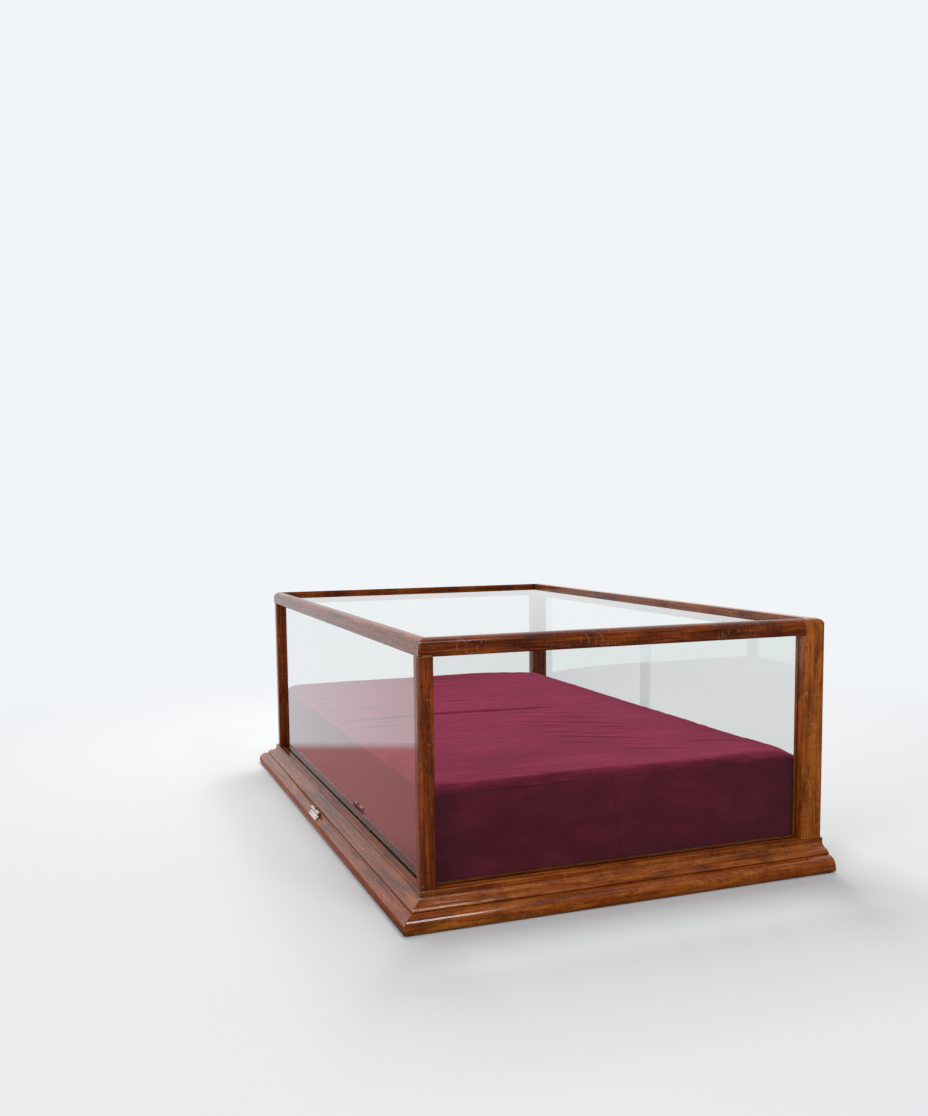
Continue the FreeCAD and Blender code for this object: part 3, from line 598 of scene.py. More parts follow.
class Shop:
    """Keeps each finish's materials, so that pieces of one finish share one."""

    def __init__(self) -> None:
        """Start with an empty shelf."""
        self.shelf: Dict[object, bpy.types.Material] = {}

    def wood(self, timber: Timber, grain: Grain) -> bpy.types.Material:
        """A wood with its grain along one axis.

        Args:
            timber: the wood.
            grain: the way the board runs.

        Returns:
            The material, made the first time that it is asked for.
        """
        key = (timber.name, grain)
        if key not in self.shelf:
            self.shelf[key] = timber.material(grain)
        return self.shelf[key]

    def finish(self, kind: Union[Velvet, Baize, Metal, PlateGlass]) -> bpy.types.Material:
        """Any finish that has no grain.

        Args:
            kind: the finish.

        Returns:
            The material, made the first time that it is asked for.
        """
        if kind.name not in self.shelf:
            self.shelf[kind.name] = kind.material()
        return self.shelf[kind.name]


def dress_node(node: str, material: bpy.types.Material) -> bpy.types.Object:
    """Give a carried-over part its material.

    Args:
        node: the part's name.
        material: what it is finished in.

    Returns:
        The part's object.
    """
    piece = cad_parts[node]
    for slot in piece.material_slots:
        slot.material = material
    return piece


def mesh_of(shape: bmesh.types.BMesh, name: str) -> bpy.types.Mesh:
    """Turn a worked shape into a mesh.

    Args:
        shape: the shape, which is freed.
        name: the mesh's name.

    Returns:
        The mesh.
    """
    mesh = bpy.data.meshes.new(name)
    shape.to_mesh(mesh)
    shape.free()
    return mesh


def new_piece(name: str, mesh: bpy.types.Mesh, material: bpy.types.Material) -> bpy.types.Object:
    """Stand a mesh in the scene as a piece of the case.

    Args:
        name: the piece's name.
        mesh: its mesh, in place.
        material: its finish.

    Returns:
        The new object.
    """
    piece = bpy.data.objects.new(name, mesh)
    mesh.materials.clear()
    mesh.materials.append(material)
    bpy.context.scene.collection.objects.link(piece)
    return piece


def baked_mesh(piece: bpy.types.Object, name: str) -> bpy.types.Mesh:
    """Copy a piece's mesh with its modifiers applied.

    Args:
        piece: the piece.
        name: the copy's name.

    Returns:
        The copy.
    """
    graph = bpy.context.evaluated_depsgraph_get()
    mesh = bpy.data.meshes.new_from_object(piece.evaluated_get(graph))
    mesh.name = name
    return mesh


def settle(piece: bpy.types.Object, material: bpy.types.Material) -> bpy.types.Mesh:
    """Apply a soft piece's modifiers for good and smooth it.

    Args:
        piece: the piece.
        material: its finish.

    Returns:
        Its new mesh.
    """
    final = baked_mesh(piece, piece.name)
    piece.modifiers.clear()
    piece.data = final
    final.shade_smooth()
    final.materials.clear()
    final.materials.append(material)
    return final


# ---------------------------------------------------------------- woodwork

@dataclass
class WornMember:
    """A wooden member with eased arrises, small chips along them and a hand-rubbed surface."""

    node: str
    grain: Grain
    board: float
    # Tone offset of the board, partly painted light.
    shade: float
    weld: float = 0.002 * MM
    level_angle: float = math.radians(0.6)
    arris_angle: float = math.radians(34)
    sharp_angle: float = math.radians(42)
    arris: float = 0.45 * MM
    step: float = 6.0 * MM
    rub: float = 0.10 * MM
    chip: float = 0.55 * MM
    waves: Pair = (38.0, 150.0)                 # blobs to the metre, as in a Pattern
    knocks: Pair = (75.0, 21.0)
    sound: float = 0.42
    board_shift: Triple = (11.3, 5.1, 7.7)

    def build(self, material: bpy.types.Material) -> bpy.types.Object:
        """Make the member from its joinery.

        Args:
            material: its finish.

        Returns:
            The new piece, which stands for the plain part.
        """
        shape = bmesh.new()
        shape.from_mesh(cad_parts[self.node].data)
        bmesh.ops.remove_doubles(shape, verts=shape.verts, dist=self.weld)
        bmesh.ops.dissolve_limit(shape, angle_limit=self.level_angle, verts=shape.verts,
                                 edges=shape.edges)
        self.ease(shape)
        self.divide(shape)
        self.rub_down(shape)
        mesh = mesh_of(shape, f"{self.node}_worn")
        mesh.shade_smooth()
        mesh.set_sharp_from_angle(angle=self.sharp_angle)
        for name, value in (("board", self.board), ("shade", self.shade)):
            layer = mesh.attributes.new(name, "FLOAT", "POINT")
            layer.data.foreach_set("value", np.full(len(mesh.vertices), value, np.float32))
        piece = new_piece(f"{self.node}_worn", mesh, material)
        piece.modifiers.new("flats", "WEIGHTED_NORMAL").keep_sharp = True
        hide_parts(self.node)
        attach(piece, "case")
        return piece

    def ease(self, shape: bmesh.types.BMesh) -> None:
        """Take the sharpness off every outer edge and mark the new points.

        Args:
            shape: the member's shape, changed in place.
        """
        sharp = [edge for edge in shape.edges
                 if edge.is_manifold and edge.calc_face_angle_signed(0.0) > self.arris_angle
                 and edge.calc_length() > 2 * self.arris]
        mark = shape.verts.layers.float.new("arris")
        eased = bmesh.ops.bevel(shape, geom=sharp, offset=self.arris, offset_type="OFFSET",
                                segments=2, profile=0.5, affect="EDGES", clamp_overlap=True)
        for vertex in eased["verts"]:
            vertex[mark] = 1.0

    def divide(self, shape: bmesh.types.BMesh) -> None:
        """Cut the faces across the member's length, so that they can be worked.

        Args:
            shape: the member's shape, changed in place.
        """
        axis = self.grain.value[0]
        along = [vertex.co[axis] for vertex in shape.verts]
        low, high = min(along), max(along)
        count = max(int((high - low) / self.step), 1)
        normal = [0.0, 0.0, 0.0]
        normal[axis] = 1.0
        for index in range(1, count):
            point = [0.0, 0.0, 0.0]
            point[axis] = low + (high - low) * index / count
            bmesh.ops.bisect_plane(shape, geom=shape.verts[:] + shape.edges[:] + shape.faces[:],
                                   dist=1e-7, plane_co=point, plane_no=normal)

    def rub_down(self, shape: bmesh.types.BMesh) -> None:
        """Sink the surface by a hair's breadth here and there, and chip the arrises.

        Args:
            shape: the member's shape, changed in place.
        """
        shape.normal_update()
        mark = shape.verts.layers.float["arris"]
        shift = Vector([self.board * by for by in self.board_shift])
        (long_wave, short_wave), (small_knock, large_knock) = self.waves, self.knocks
        moves = []
        for vertex in shape.verts:
            place = vertex.co + shift
            wave = 0.5 + 0.5 * noise.noise(place * long_wave) \
                + 0.25 * noise.noise(place * short_wave)
            depth = self.rub * max(wave, 0.0)
            if vertex[mark] > 0.5:
                knock = noise.noise(place * small_knock) + 0.5 * noise.noise(place * large_knock)
                depth += self.chip * max(knock - self.sound, 0.0) + self.rub * 0.6
            moves.append(depth)
        for vertex, depth in zip(shape.verts, moves):
            vertex.co -= vertex.normal * depth


@dataclass
class Frame:
    """Plinth, posts and rails in mahogany, and the softwood that they hide."""

    # Each member's node, grain and tone offset; the offsets are partly real differences between
    # boards and partly painted light, as post_rear_right is lightened as if lit.
    worn: Sequence[Tuple[str, Grain, float]] = (
        ("plinth_front", Grain.ALONG_X, 0.04),
        ("plinth_left_end", Grain.ALONG_Y, 0.02),
        ("plinth_right_end", Grain.ALONG_Y, 0.10),
        ("plinth_rear", Grain.ALONG_X, -0.02),
        ("rail_front", Grain.ALONG_X, -0.05),
        ("rail_left_end", Grain.ALONG_Y, 0.0),
        ("rail_right_end", Grain.ALONG_Y, -0.08),
        ("rail_rear", Grain.ALONG_X, 0.07),
        ("post_front_left", Grain.ALONG_Z, -0.02),
        ("post_front_right", Grain.ALONG_Z, -0.03),
        ("post_rear_left", Grain.ALONG_Z, -0.04),
        ("post_rear_right", Grain.ALONG_Z, 0.15),
        ("door_sill", Grain.ALONG_X, 0.0),
    )
    softwood: Sequence[Tuple[str, Grain]] = (
        ("base_board", Grain.ALONG_X), ("glue_blocks", Grain.ALONG_X),
        ("bed_front_board", Grain.ALONG_X), ("bed_rear_board", Grain.ALONG_X),
        ("bed_left_board", Grain.ALONG_Y), ("bed_right_board", Grain.ALONG_Y),
        ("bed_bearers", Grain.ALONG_Y), ("bed_lid", Grain.ALONG_X),
    )

    def build(self, shop: Shop) -> Pieces:
        """Make the worn members, and return them."""
        return [WornMember(node, grain, number + 1.0, shade).build(shop.wood(MAHOGANY, grain))
                for number, (node, grain, shade) in enumerate(self.worn)]

    def dress(self, shop: Shop) -> Pieces:
        """Finish the softwood and the baize, and return them."""
        hidden = [dress_node(node, shop.wood(PINE, grain)) for node, grain in self.softwood]
        return hidden + [dress_node("baize_pads", shop.finish(BAIZE))]


# ---------------------------------------------------------------- glass and metal

@dataclass
class Glazing:
    """Top glass, three fixed panes, two doors that pass each other, and the front pane's pins."""

    panes: Sequence[str] = ("glass_top", "glass_front", "glass_left_end", "glass_right_end",
                            "door_left", "door_right")
    pins: str = "glazing_pins"

    def dress(self, shop: Shop) -> Pieces:
        """Finish the panes and the pins, and return them."""
        panes = [dress_node(node, shop.finish(GLASS)) for node in self.panes]
        return panes + [dress_node(self.pins, shop.finish(BRASS))]


@dataclass
class Ironwork:
    """The catch on the front moulding, and the screws."""

    nickel: Sequence[str] = ("catch_plate", "catch_screws", "catch_bolt")
    steel: Sequence[str] = ("post_screws",)

    def dress(self, shop: Shop) -> Pieces:
        """Finish the metal parts, and return them."""
        catch = [dress_node(node, shop.finish(NICKEL)) for node in self.nickel]
        return catch + [dress_node(node, shop.finish(STEEL)) for node in self.steel]


# ---------------------------------------------------------------- the bed

@dataclass(frozen=True)
class Crease:
    """A fold of the cloth between two points of the top, in millimetres."""

    start: Pair
    end: Pair
    rise: float
    width: float
    gain: float = 1.35
    dip: float = 0.75
    dip_place: float = 1.5
    dip_width: float = 0.8
    stray: float = 2.2
    bends: float = 5.0
    fade_in: float = 0.22
    fade_out: float = 0.30

    def height(self, x: np.ndarray, y: np.ndarray) -> np.ndarray:
        """How far the fold lifts the cloth.

        Args:
            x: places along the case, in millimetres.
            y: places across it.

        Returns:
            The lift at each place, in millimetres: a ridge with a dip beside it.
        """
        along = np.array([self.end[0] - self.start[0], self.end[1] - self.start[1]], float)
        length = float(np.hypot(*along))
        along /= length
        from_x, from_y = x - self.start[0], y - self.start[1]
        run = (from_x * along[0] + from_y * along[1]) / length
        side = from_y * along[0] - from_x * along[1]
        side = side + self.stray * np.sin(run * self.bends + self.start[0]) * self.width / 6.0
        fade = np.clip(run / self.fade_in, 0, 1) * np.clip((1 - run) / self.fade_out, 0, 1)
        ridge = np.exp(-(side / self.width) ** 2)
        dip = np.exp(-((side + self.dip_place * self.width) / (self.dip_width * self.width)) ** 2)
        return self.gain * self.rise * fade * (ridge - self.dip * dip)


@dataclass(frozen=True)
class Wadding:
    """How the old wadding has settled, in millimetres: each slope's start and its length."""

    left_slope: Pair = (120.0, 290.0)
    left_rise: float = 3.6
    right_slope: Pair = (250.0, 160.0)
    right_rise: float = 1.3
    back_slope: Pair = (120.0, 140.0)
    unevenness: float = 0.5
    corner_sink: float = 5.0
    corner_reach: float = 22.0
    edge_reach: float = 9.0
    edge_pucker: float = 0.3

    def slope(self, x: np.ndarray, y: np.ndarray) -> np.ndarray:
        """How high the wadding stands.

        Args:
            x: places along the case, in millimetres.
            y: places across it.

        Returns:
            The lift at each place, in millimetres.
        """
        left, right, back = (
            np.clip((place - start) / reach, 0, 1) for place, (start, reach) in
            ((-x, self.left_slope), (x, self.right_slope), (y, self.back_slope)))
        lift = self.left_rise * left * (1 - 1.9 * back ** 2) \
            + self.right_rise * right * (0.2 + back)
        return lift + self.unevenness * np.sin(x / 63.0 + y / 120.0) * np.sin(y / 51.0)

    def pucker(self, inner: np.ndarray, x: np.ndarray, y: np.ndarray) -> np.ndarray:
        """How the cloth puckers between its tacks.

        Args:
            inner: distance of each place from the nearest edge, in millimetres.
            x: places along the case.
            y: places across it.

        Returns:
            The lift at each place, in millimetres.
        """
        edge = np.exp(-np.clip(inner, 0, None) / self.edge_reach)
        wave = np.sin(x / 23.0 + 0.6 * np.sin(y / 23.0))
        return self.edge_pucker * edge * wave * np.sin(y / 29.0)


@dataclass
class Bed:
    """A padded top and a skirt of velvet over the boards."""

    voxel: float = 4.2 * MM
    arris: float = 3.0 * MM
    inset: Triple = (0.3, 0.3, 0.0)             # in millimetres
    headroom: float = 0.8 * MM
    swell: float = 2.5
    slack: float = -0.004
    tacked: float = 0.30
    frames: int = 20
    cap: float = 3.5 * MM
    bulge: float = 1.3 * MM
    bulge_reach: float = 3.0 * MM
    skirt_step: float = 5.0 * MM
    corner: float = 3.0 * MM
    corner_steps: int = 4
    cloth: float = 1.3 * MM
    sharp_angle: float = math.radians(60)
    tuck: float = 1.0 * MM
    overlap: float = 2.2 * MM
    curl: float = 0.3                           # in millimetres, over the top of the height
    curl_start: float = 0.955
    curl_reach: float = 0.045
    hem: float = 0.5 * MM
    seam_reach: float = 12.0 * MM
    seam_step: float = 0.75 * MM
    seam_foot: float = 6.6                      # the seam's line and relief, in millimetres
    seam_lean: float = 12.4
    seam_kink: Triple = (0.8, 0.2, 2.2)         # start and length in shares of the height, shift
    seam_groove: Pair = (1.15, 1.0)             # depth, half width
    seam_ridge: Triple = (0.85, 1.2, 2.6)       # height, half width, distance from the groove
    wadding: Wadding = Wadding()
    creases: Sequence[Crease] = (
        Crease((-30, -262), (-22, 60), 2.0, 4.6),
        Crease((-25, -20), (-12, 120), 1.3, 4.6),
        Crease((-146, -80), (-106, 110), 0.5, 4.0),
        Crease((4, 20), (60, 150), 0.5, 3.4),
        Crease((26, 5), (104, 166), 0.6, 3.6),
        Crease((44, 20), (130, 190), 0.5, 3.4),
        Crease((64, -10), (150, 150), 0.6, 3.4),
        Crease((90, 20), (168, 186), 0.5, 3.4),
        Crease((112, 8), (180, 158), 0.7, 3.6),
        Crease((134, 30), (206, 170), 0.4, 3.4),
        Crease((154, -5), (218, 120), 0.5, 3.6),
        Crease((190, 10), (256, 125), 0.7, 3.8),
        Crease((225, 0), (290, 110), 0.4, 3.6),
        Crease((300, 60), (345, 160), 0.5, 4.0),
        Crease((290, 160), (326, 240), 0.6, 4.4),
        Crease((-135, -190), (-80, -90), 0.8, 5.0),
        Crease((20, -236), (44, -120), 0.9, 4.6),
        Crease((-250, -225), (-190, -150), 0.8, 6.0),
        Crease((-310, -120), (-270, 60), 0.6, 7.0),
        Crease((-370, -60), (-345, 120), 0.7, 6.0),
        Crease((150, -225), (185, -140), 0.7, 5.0),
    )

    def build(self, shop: Shop) -> Pieces:
        """Make the padded top and the skirt, and return them."""
        velvet = shop.finish(VELVET)
        return [self.build_top(velvet), self.build_skirt(velvet)]

    def build_top(self, velvet: bpy.types.Material) -> bpy.types.Object:
        """Make the padded top: simulated swelling and puckers, then the folds that stay.

        Args:
            velvet: its finish.

        Returns:
            The padded top.
        """
        low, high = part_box("bed_pad")
        piece = new_piece("bed_top_velvet", self.blank(low, high), velvet)
        self.simulate(piece, low, high)
        self.fold(piece.data, low, high)
        smooth = piece.modifiers.new("smooth", "SUBSURF")
        smooth.levels = smooth.render_levels = 1
        settle(piece, velvet)
        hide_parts("bed_pad")
        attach(piece, "case")
        return piece

    def blank(self, low: Vector, high: Vector) -> bpy.types.Mesh:
        """The wadding: a slab with round edges, divided evenly.

        Args:
            low: lowest corner of the room for it.
            high: highest corner.

        Returns:
            An even mesh, a little smaller than the room.
        """
        shape = bmesh.new()
        bmesh.ops.create_cube(shape, size=1.0)
        inset = Vector(self.inset) * MM
        lowest, highest = low + inset, high - inset - Vector((0, 0, self.headroom))
        span, middle = highest - lowest, (highest + lowest) / 2
        bmesh.ops.transform(shape, verts=shape.verts,
                            matrix=Matrix.Translation(middle) @ Matrix.Diagonal((*span, 1.0)))
        upper = [edge for edge in shape.edges
                 if all(vertex.co.z > middle.z for vertex in edge.verts) or
                 abs(edge.verts[0].co.z - edge.verts[1].co.z) > 1e-4]
        bmesh.ops.bevel(shape, geom=upper, offset=self.arris, segments=3, profile=0.5,
                        affect="EDGES", clamp_overlap=True)
        rough = bpy.data.objects.new("wadding", mesh_of(shape, "wadding"))
        bpy.context.scene.collection.objects.link(rough)
        remesh = rough.modifiers.new("even", "REMESH")
        remesh.mode = "VOXEL"
        remesh.voxel_size = self.voxel
        even = baked_mesh(rough, "bed_top_blank")
        bpy.data.objects.remove(rough)
        return even

    def simulate(self, piece: bpy.types.Object, low: Vector, high: Vector) -> None:
        """Let the cloth swell and pucker over the wadding, within a limit.

        Args:
            piece: the evenly divided top, whose mesh is replaced by the result.
            low: lowest corner of the room for it.
            high: highest corner.
        """
        scene = bpy.context.scene
        before = np.array([vertex.co for vertex in piece.data.vertices])
        hold = piece.vertex_groups.new(name="tacked")
        level = low.z + self.tacked * (high.z - low.z)
        hold.add([v.index for v in piece.data.vertices if v.co.z < level], 1.0, "REPLACE")
        cloth = piece.modifiers.new("cloth", "CLOTH")
        settings = cloth.settings
        settings.quality = 4
        settings.mass = 0.3
        settings.tension_stiffness = settings.compression_stiffness = 12.0
        settings.shear_stiffness = 6.0
        settings.bending_stiffness = 0.6
        settings.use_pressure = True
        settings.uniform_pressure_force = self.swell
        settings.effector_weights.gravity = 0.0
        settings.shrink_min = self.slack
        settings.vertex_group_mass = "tacked"
        cloth.collision_settings.use_collision = False
        cloth.point_cache.frame_start, cloth.point_cache.frame_end = 1, self.frames
        for number in range(1, self.frames + 1):
            scene.frame_set(number)
        result = baked_mesh(piece, "bed_top_puckered")
        after = np.array([vertex.co for vertex in result.vertices])
        move = after - before
        length = np.linalg.norm(move, axis=1, keepdims=True)
        move *= np.minimum(1.0, self.cap / np.maximum(length, 1e-9))
        log.info("cloth moved %.2f mm at most before the limit", float(length.max()) / MM)
        piece.modifiers.clear()
        piece.vertex_groups.clear()
        result.vertices.foreach_set("co", (before + move).astype(np.float32).ravel())
        result.update()
        piece.data = result
        scene.frame_set(1)

    def fold(self, mesh: bpy.types.Mesh, low: Vector, high: Vector) -> None:
        """Lay the lasting folds and the slope of the old wadding on the top, and round its sides.

        Args:
            mesh: the top's mesh, changed in place.
            low: lowest corner of the room for it.
            high: highest corner.
        """
        points = np.array([vertex.co for vertex in mesh.vertices])
        x, y = points[:, 0] / MM, points[:, 1] / MM
        level = np.clip((points[:, 2] - low.z) / (high.z - low.z), 0, 1)
        lift = self.wadding.slope(x, y)
        for crease in self.creases:
            lift += crease.height(x, y)
        to_corner = (high.x / MM - x) ** 2 + (high.y / MM - y) ** 2
        lift -= self.wadding.corner_sink * np.exp(-to_corner / self.wadding.corner_reach ** 2)
        inner = np.minimum(np.minimum(x - low.x / MM, high.x / MM - x),
                           np.minimum(y - low.y / MM, high.y / MM - y))
        lift += self.wadding.pucker(inner, x, y)
        points[:, 2] += lift * level ** 1.5 * MM
        roll = self.bulge * np.sin(np.pi * level ** 0.8)
        for axis, (near, far) in enumerate(((low.x, high.x), (low.y, high.y))):
            place = points[:, axis]
            points[:, axis] += roll * (np.exp(-((far - place) / self.bulge_reach) ** 2)
                                       - np.exp(-((place - near) / self.bulge_reach) ** 2))
        mesh.vertices.foreach_set("co", points.astype(np.float32).ravel())
        mesh.update()

    def outline(self) -> Tuple[np.ndarray, np.ndarray, np.ndarray]:
        """The skirt's path round the boards, with more points near the seam.

        Returns:
            Points in plan, the outward direction at each, and the distance run to each, in metres.
        """
        lows, highs = zip(*(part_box(f"skirt_{side}") for side in ("front", "rear", "left", "right")))
        x0, x1 = min(c.x for c in lows) + self.tuck, max(c.x for c in highs) - self.tuck
        y0, y1 = min(c.y for c in lows) + self.tuck, max(c.y for c in highs) - self.tuck
        r = self.corner
        centres = ((x1 - r, y0 + r, -90), (x1 - r, y1 - r, 0), (x0 + r, y1 - r, 90),
                   (x0 + r, y0 + r, 180))
        points, outward = [], []
        for index, (cx, cy, start) in enumerate(centres):
            for part in range(self.corner_steps + 1):
                angle = math.radians(start + 90 * part / self.corner_steps)
                points.append((cx + r * math.cos(angle), cy + r * math.sin(angle)))
                outward.append((math.cos(angle), math.sin(angle)))
            nx, ny, _ = centres[(index + 1) % 4]
            angle = math.radians(start + 90)
            begin = np.array(points[-1])
            finish = np.array((nx + r * math.cos(angle), ny + r * math.sin(angle)))
            length = float(np.linalg.norm(finish - begin))
            places = set(np.arange(self.skirt_step, length - 1e-4, self.skirt_step))
            if index == 0:
                seam, reach, step = -float(begin[1]), self.seam_reach, self.seam_step
                places = {p for p in places if abs(p - seam) > reach}
                places |= set(np.arange(seam - reach, seam + reach + step / 2, step))
            for place in sorted(places):
                points.append(tuple(begin + (finish - begin) * place / length))
                outward.append((math.cos(angle), math.sin(angle)))
        points, outward = np.array(points), np.array(outward)
        steps = np.linalg.norm(np.roll(points, -1, 0) - points, axis=1)
        return points, outward, np.concatenate([[0.0], np.cumsum(steps)])

    def build_skirt(self, velvet: bpy.types.Material) -> bpy.types.Object:
        """Make the skirt: one strip tacked round the boards, with a seam at the right end.

        Args:
            velvet: its finish.

        Returns:
            The skirt.
        """
        plan, outward, run = self.outline()
        low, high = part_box("skirt_front")
        rows = int((high.z - low.z) / self.skirt_step) + 1
        shape = bmesh.new()
        grid = []
        for row in range(rows + 1):
            rise = row / rows
            ring = []
            for place, facing in zip(plan, outward):
                z = low.z + (high.z + self.overlap - low.z) * rise
                slack = self.skirt_relief(place, facing, rise)
                slack += self.curl * max(0.0, (rise - self.curl_start) / self.curl_reach) ** 2
                point = place - facing * (slack * MM)
                if row == 0:
                    z += self.hem * (1 + noise.noise(Vector((*place, 0)) * 30))
                ring.append(shape.verts.new((point[0], point[1], z)))
            grid.append(ring)
        for lower, upper in zip(grid, grid[1:]):
            for column in range(len(plan)):
                after = (column + 1) % len(plan)
                shape.faces.new((lower[column], lower[after], upper[after], upper[column]))
        bmesh.ops.recalc_face_normals(shape, faces=shape.faces)
        piece = new_piece("bed_skirt_velvet", mesh_of(shape, "bed_skirt_velvet"), velvet)
        thick = piece.modifiers.new("thick", "SOLIDIFY")
        thick.thickness = self.cloth
        thick.offset = -1.0
        settle(piece, velvet).set_sharp_from_angle(angle=self.sharp_angle)
        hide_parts("skirt_front", "skirt_rear", "skirt_left", "skirt_right")
        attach(piece, "case")
        return piece

    def skirt_relief(self, point: np.ndarray, outward: np.ndarray, rise: float) -> float:
        """How far the strip sits inside its path, in millimetres.

        Args:
            point: the place in plan, in metres.
            outward: the direction that it faces.
            rise: 0 at the foot and 1 at the top.

        Returns:
            A depth of 0 to about 0.4, more in the seam's groove and less on its ridge.
        """
        place = Vector((point[0], point[1], rise * 0.1))
        soft = 0.5 + 0.5 * noise.noise(place * 16.0)
        drag = 0.5 + 0.5 * noise.noise(Vector((place.x * 45, place.y * 45, rise * 2.0)))
        depth = 0.22 * soft + 0.18 * drag
        if outward[0] > 0.99:
            (kink_start, kink_reach, kink), (ridge, width, apart) = self.seam_kink, self.seam_ridge
            seam = self.seam_foot - self.seam_lean * rise \
                - kink * max(0.0, rise - kink_start) / kink_reach
            offset = point[1] / MM - seam
            groove, half = self.seam_groove
            depth = 0.3 * depth + groove * math.exp(-(offset / half) ** 2)
            depth -= ridge * math.exp(-((offset - apart) / width) ** 2)
        return depth


# ---------------------------------------------------------------- stage

@dataclass(frozen=True)
class Lamp:
    """A soft lamp: where it hangs and what it faces, its size, power and colour."""

    name: str
    place: Triple
    aim: Triple
    size: Pair
    watts: float
    colour: Colour
    shines: bool

    def hang(self) -> None:
        """Hang the lamp, which polish picks up as a highlight only where it shines."""
        data = bpy.data.lights.new(self.name, "AREA")
        data.shape = "RECTANGLE"
        data.size, data.size_y = self.size
        data.energy = self.watts
        data.color = self.colour
        lamp = bpy.data.objects.new(self.name, data)
        lamp.location = self.place
        lamp.visible_glossy = self.shines
        ahead = Vector(self.aim) - Vector(self.place)
        lamp.rotation_euler = ahead.to_track_quat("-Z", "Y").to_euler()
        bpy.context.scene.collection.objects.link(lamp)


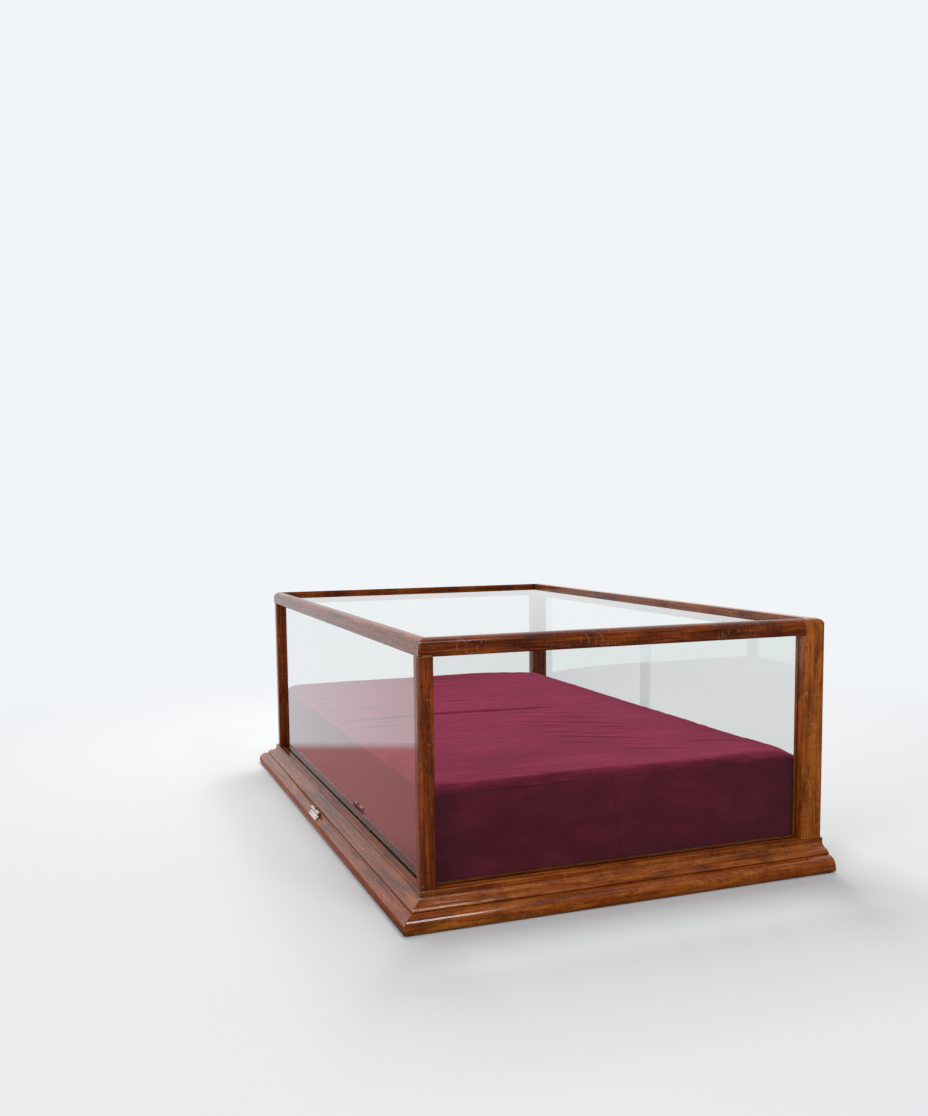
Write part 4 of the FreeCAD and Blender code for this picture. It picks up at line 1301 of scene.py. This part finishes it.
@dataclass
class Studio:
    """A pale floor, soft lamps, and the camera."""

    floor_colour: Colour = (0.80, 0.81, 0.825)
    wall_colour: Colour = (0.885, 0.91, 0.93)
    shade_colour: Colour = (0.045, 0.042, 0.040)
    # Painted reflection of a warm floor in front of the case, seen only by polish and glass.
    warm_reflection: Colour = (0.49, 0.205, 0.175)
    dim_fill: Colour = (0.38, 0.385, 0.39)
    bright_fill: Colour = (0.45, 0.455, 0.46)
    floor_radius: float = 14.0
    floor_grain: Pattern = Pattern((12.0, 12.0, 12.0))
    mirrored_floor: float = 0.93
    held_bounce: float = 0.75
    ceiling: float = 0.30
    film: float = 36.0                          # in millimetres
    rows: float = 1116.0                        # the picture's, which focus and lift count in
    focus: float = 1070.0
    lift: float = 62.119
    eye: Triple = (1.52480, -0.60572, 0.44655)
    yaw: float = 0.354
    pitch: float = 0.093
    roll: float = -0.011
    lamps: Sequence[Lamp] = (
        Lamp("skylight", (1.90, 0.55, 2.30), (0.2, 0.0, 0.1), (0.45, 0.40), 9.0,
             (1.0, 0.99, 0.97), True),
        Lamp("window", (1.7, -2.1, 1.5), (0.2, -0.1, 0.1), (1.0, 1.0), 17.0,
             (1.0, 0.985, 0.96), False),
        Lamp("lantern", (-1.1, 0.25, 2.2), (0.0, 0.0, 0.1), (1.1, 1.0), 43.0,
             (1.0, 0.99, 0.98), False),
    )

    def place_camera(self) -> None:
        """Stand the camera off the right front corner, looking a little down."""
        data = bpy.data.cameras.new("camera")
        data.lens = self.focus / self.rows * self.film
        data.sensor_width = self.film
        data.shift_y = self.lift / self.rows
        data.clip_start, data.clip_end = 0.05, 60.0
        camera = bpy.data.objects.new("camera", data)
        bpy.context.scene.collection.objects.link(camera)
        ahead = Vector((-math.cos(self.yaw), math.sin(self.yaw), 0.0))
        right = Vector((math.sin(self.yaw), math.cos(self.yaw), 0.0))
        up = Vector((0.0, 0.0, 1.0))
        look = ahead * math.cos(self.pitch) - up * math.sin(self.pitch)
        over = ahead * math.sin(self.pitch) + up * math.cos(self.pitch)
        across = right * math.cos(self.roll) + over * math.sin(self.roll)
        above = -right * math.sin(self.roll) + over * math.cos(self.roll)
        turn = Matrix((across, above, -look)).transposed()
        camera.matrix_world = Matrix.Translation(self.eye) @ turn.to_4x4()
        bpy.context.scene.camera = camera
        log.info("camera stands at %s", self.eye)

    def build_floor(self) -> None:
        """Lay a pale floor that fades into the wall's colour far from the case.

        Polish and glass see a glowing, painted room instead of it: a painted reflection, dim, warm in
        front of the case and bright beyond its left end. The case gets only a part of its bounce; the
        rest is the dim glow, a painted shade on its undersides.
        """
        shape = bmesh.new()
        bmesh.ops.create_circle(shape, cap_ends=True, radius=self.floor_radius, segments=96)
        tree = new_tree("pale_floor")
        place = tree.place()
        far = tree.add("ShaderNodeVectorMath", {"operation": "LENGTH"}, {0: place}, "Value")
        grain = tree.cloud(place, self.floor_grain)
        shaded = tuple(c * 0.9 for c in self.floor_colour)
        colour = tree.mix(grain * 0.06, self.floor_colour, shaded)
        matt = tree.add("ShaderNodeBsdfPrincipled", None,
                        {"Base Color": colour, "Roughness": 0.9, "Specular IOR Level": 0.2})
        glossy = tree.add("ShaderNodeLightPath", None, None, "Is Glossy Ray")
        bounced = glossy.beside("Is Diffuse Ray")
        x, y, _ = tree.axes(place)
        ahead = 0 - y
        front = (ahead - x * 0.5).step(0.05, 0.28)
        # Painted reflection and shade: polish and glass see the floor glow warm in front and dim
        # elsewhere, and bounce sees the dim glow.
        room = tree.mix(front * glossy, self.shade_colour, self.warm_reflection)
        swapped = (glossy * self.mirrored_floor).most(bounced * self.held_bounce)
        near = tree.blend(swapped, matt, tree.glow(room))
        # Painted reflection: polish sees the floor beyond the left end glow as the bright wall.
        beyond = (ahead * 0.43 - x * 0.9).step(0.60, 0.70)
        away = far.step(0.6, 1.7) * (1 - glossy) + beyond * glossy
        material = tree.surface(tree.blend(away, near, tree.glow(self.wall_colour)))
        floor = new_piece("floor", mesh_of(shape, "floor"), material)

    def hang_sky(self) -> None:
        """Show a pale wall to the eye, with a dim room opposite that only polish picks up."""
        world = bpy.data.worlds.new("studio")
        bpy.context.scene.world = world
        tree = Tree(world)
        camera = tree.add("ShaderNodeLightPath", None, None, "Is Camera Ray")
        seen = camera.most(camera.beside("Is Transmission Ray"))
        x, _, z = tree.axes(tree.add("ShaderNodeTexCoord", None, None, "Generated"))
        bright = x.step(0.25, -0.30).most(z.step(0.35, 0.85) * self.ceiling)
        mirrored = tree.mix(bright, self.shade_colour, self.wall_colour)
        fill = tree.mix(bright, self.dim_fill, self.bright_fill)
        unseen = tree.mix(camera.beside("Is Glossy Ray"), fill, mirrored)
        tree.surface(tree.add("ShaderNodeBackground", None, {
            "Color": tree.mix(seen, unseen, self.wall_colour), "Strength": 1.0}))

    def light(self) -> None:
        """Hang the lantern overhead, a small bright skylight and a weak side lamp."""
        for lamp in self.lamps:
            lamp.hang()
        bpy.context.scene.view_settings.view_transform = "Standard"


def main() -> None:
    """Build the scene, and report each piece."""
    logging.basicConfig(level=logging.INFO, format="%(name)s: %(message)s")
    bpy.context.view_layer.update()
    studio, shop, case = Studio(), Shop(), Frame()
    studio.place_camera()
    pieces = case.build(shop) + case.dress(shop) + Bed().build(shop)
    pieces += Glazing().dress(shop) + Ironwork().dress(shop)
    for piece in pieces:
        log.info("%s in %s, %d points", piece.name, piece.active_material.name,
                 len(piece.data.vertices))
    studio.build_floor()
    studio.hang_sky()
    studio.light()
    bpy.context.view_layer.update()


if __name__ == "__main__":
    main()
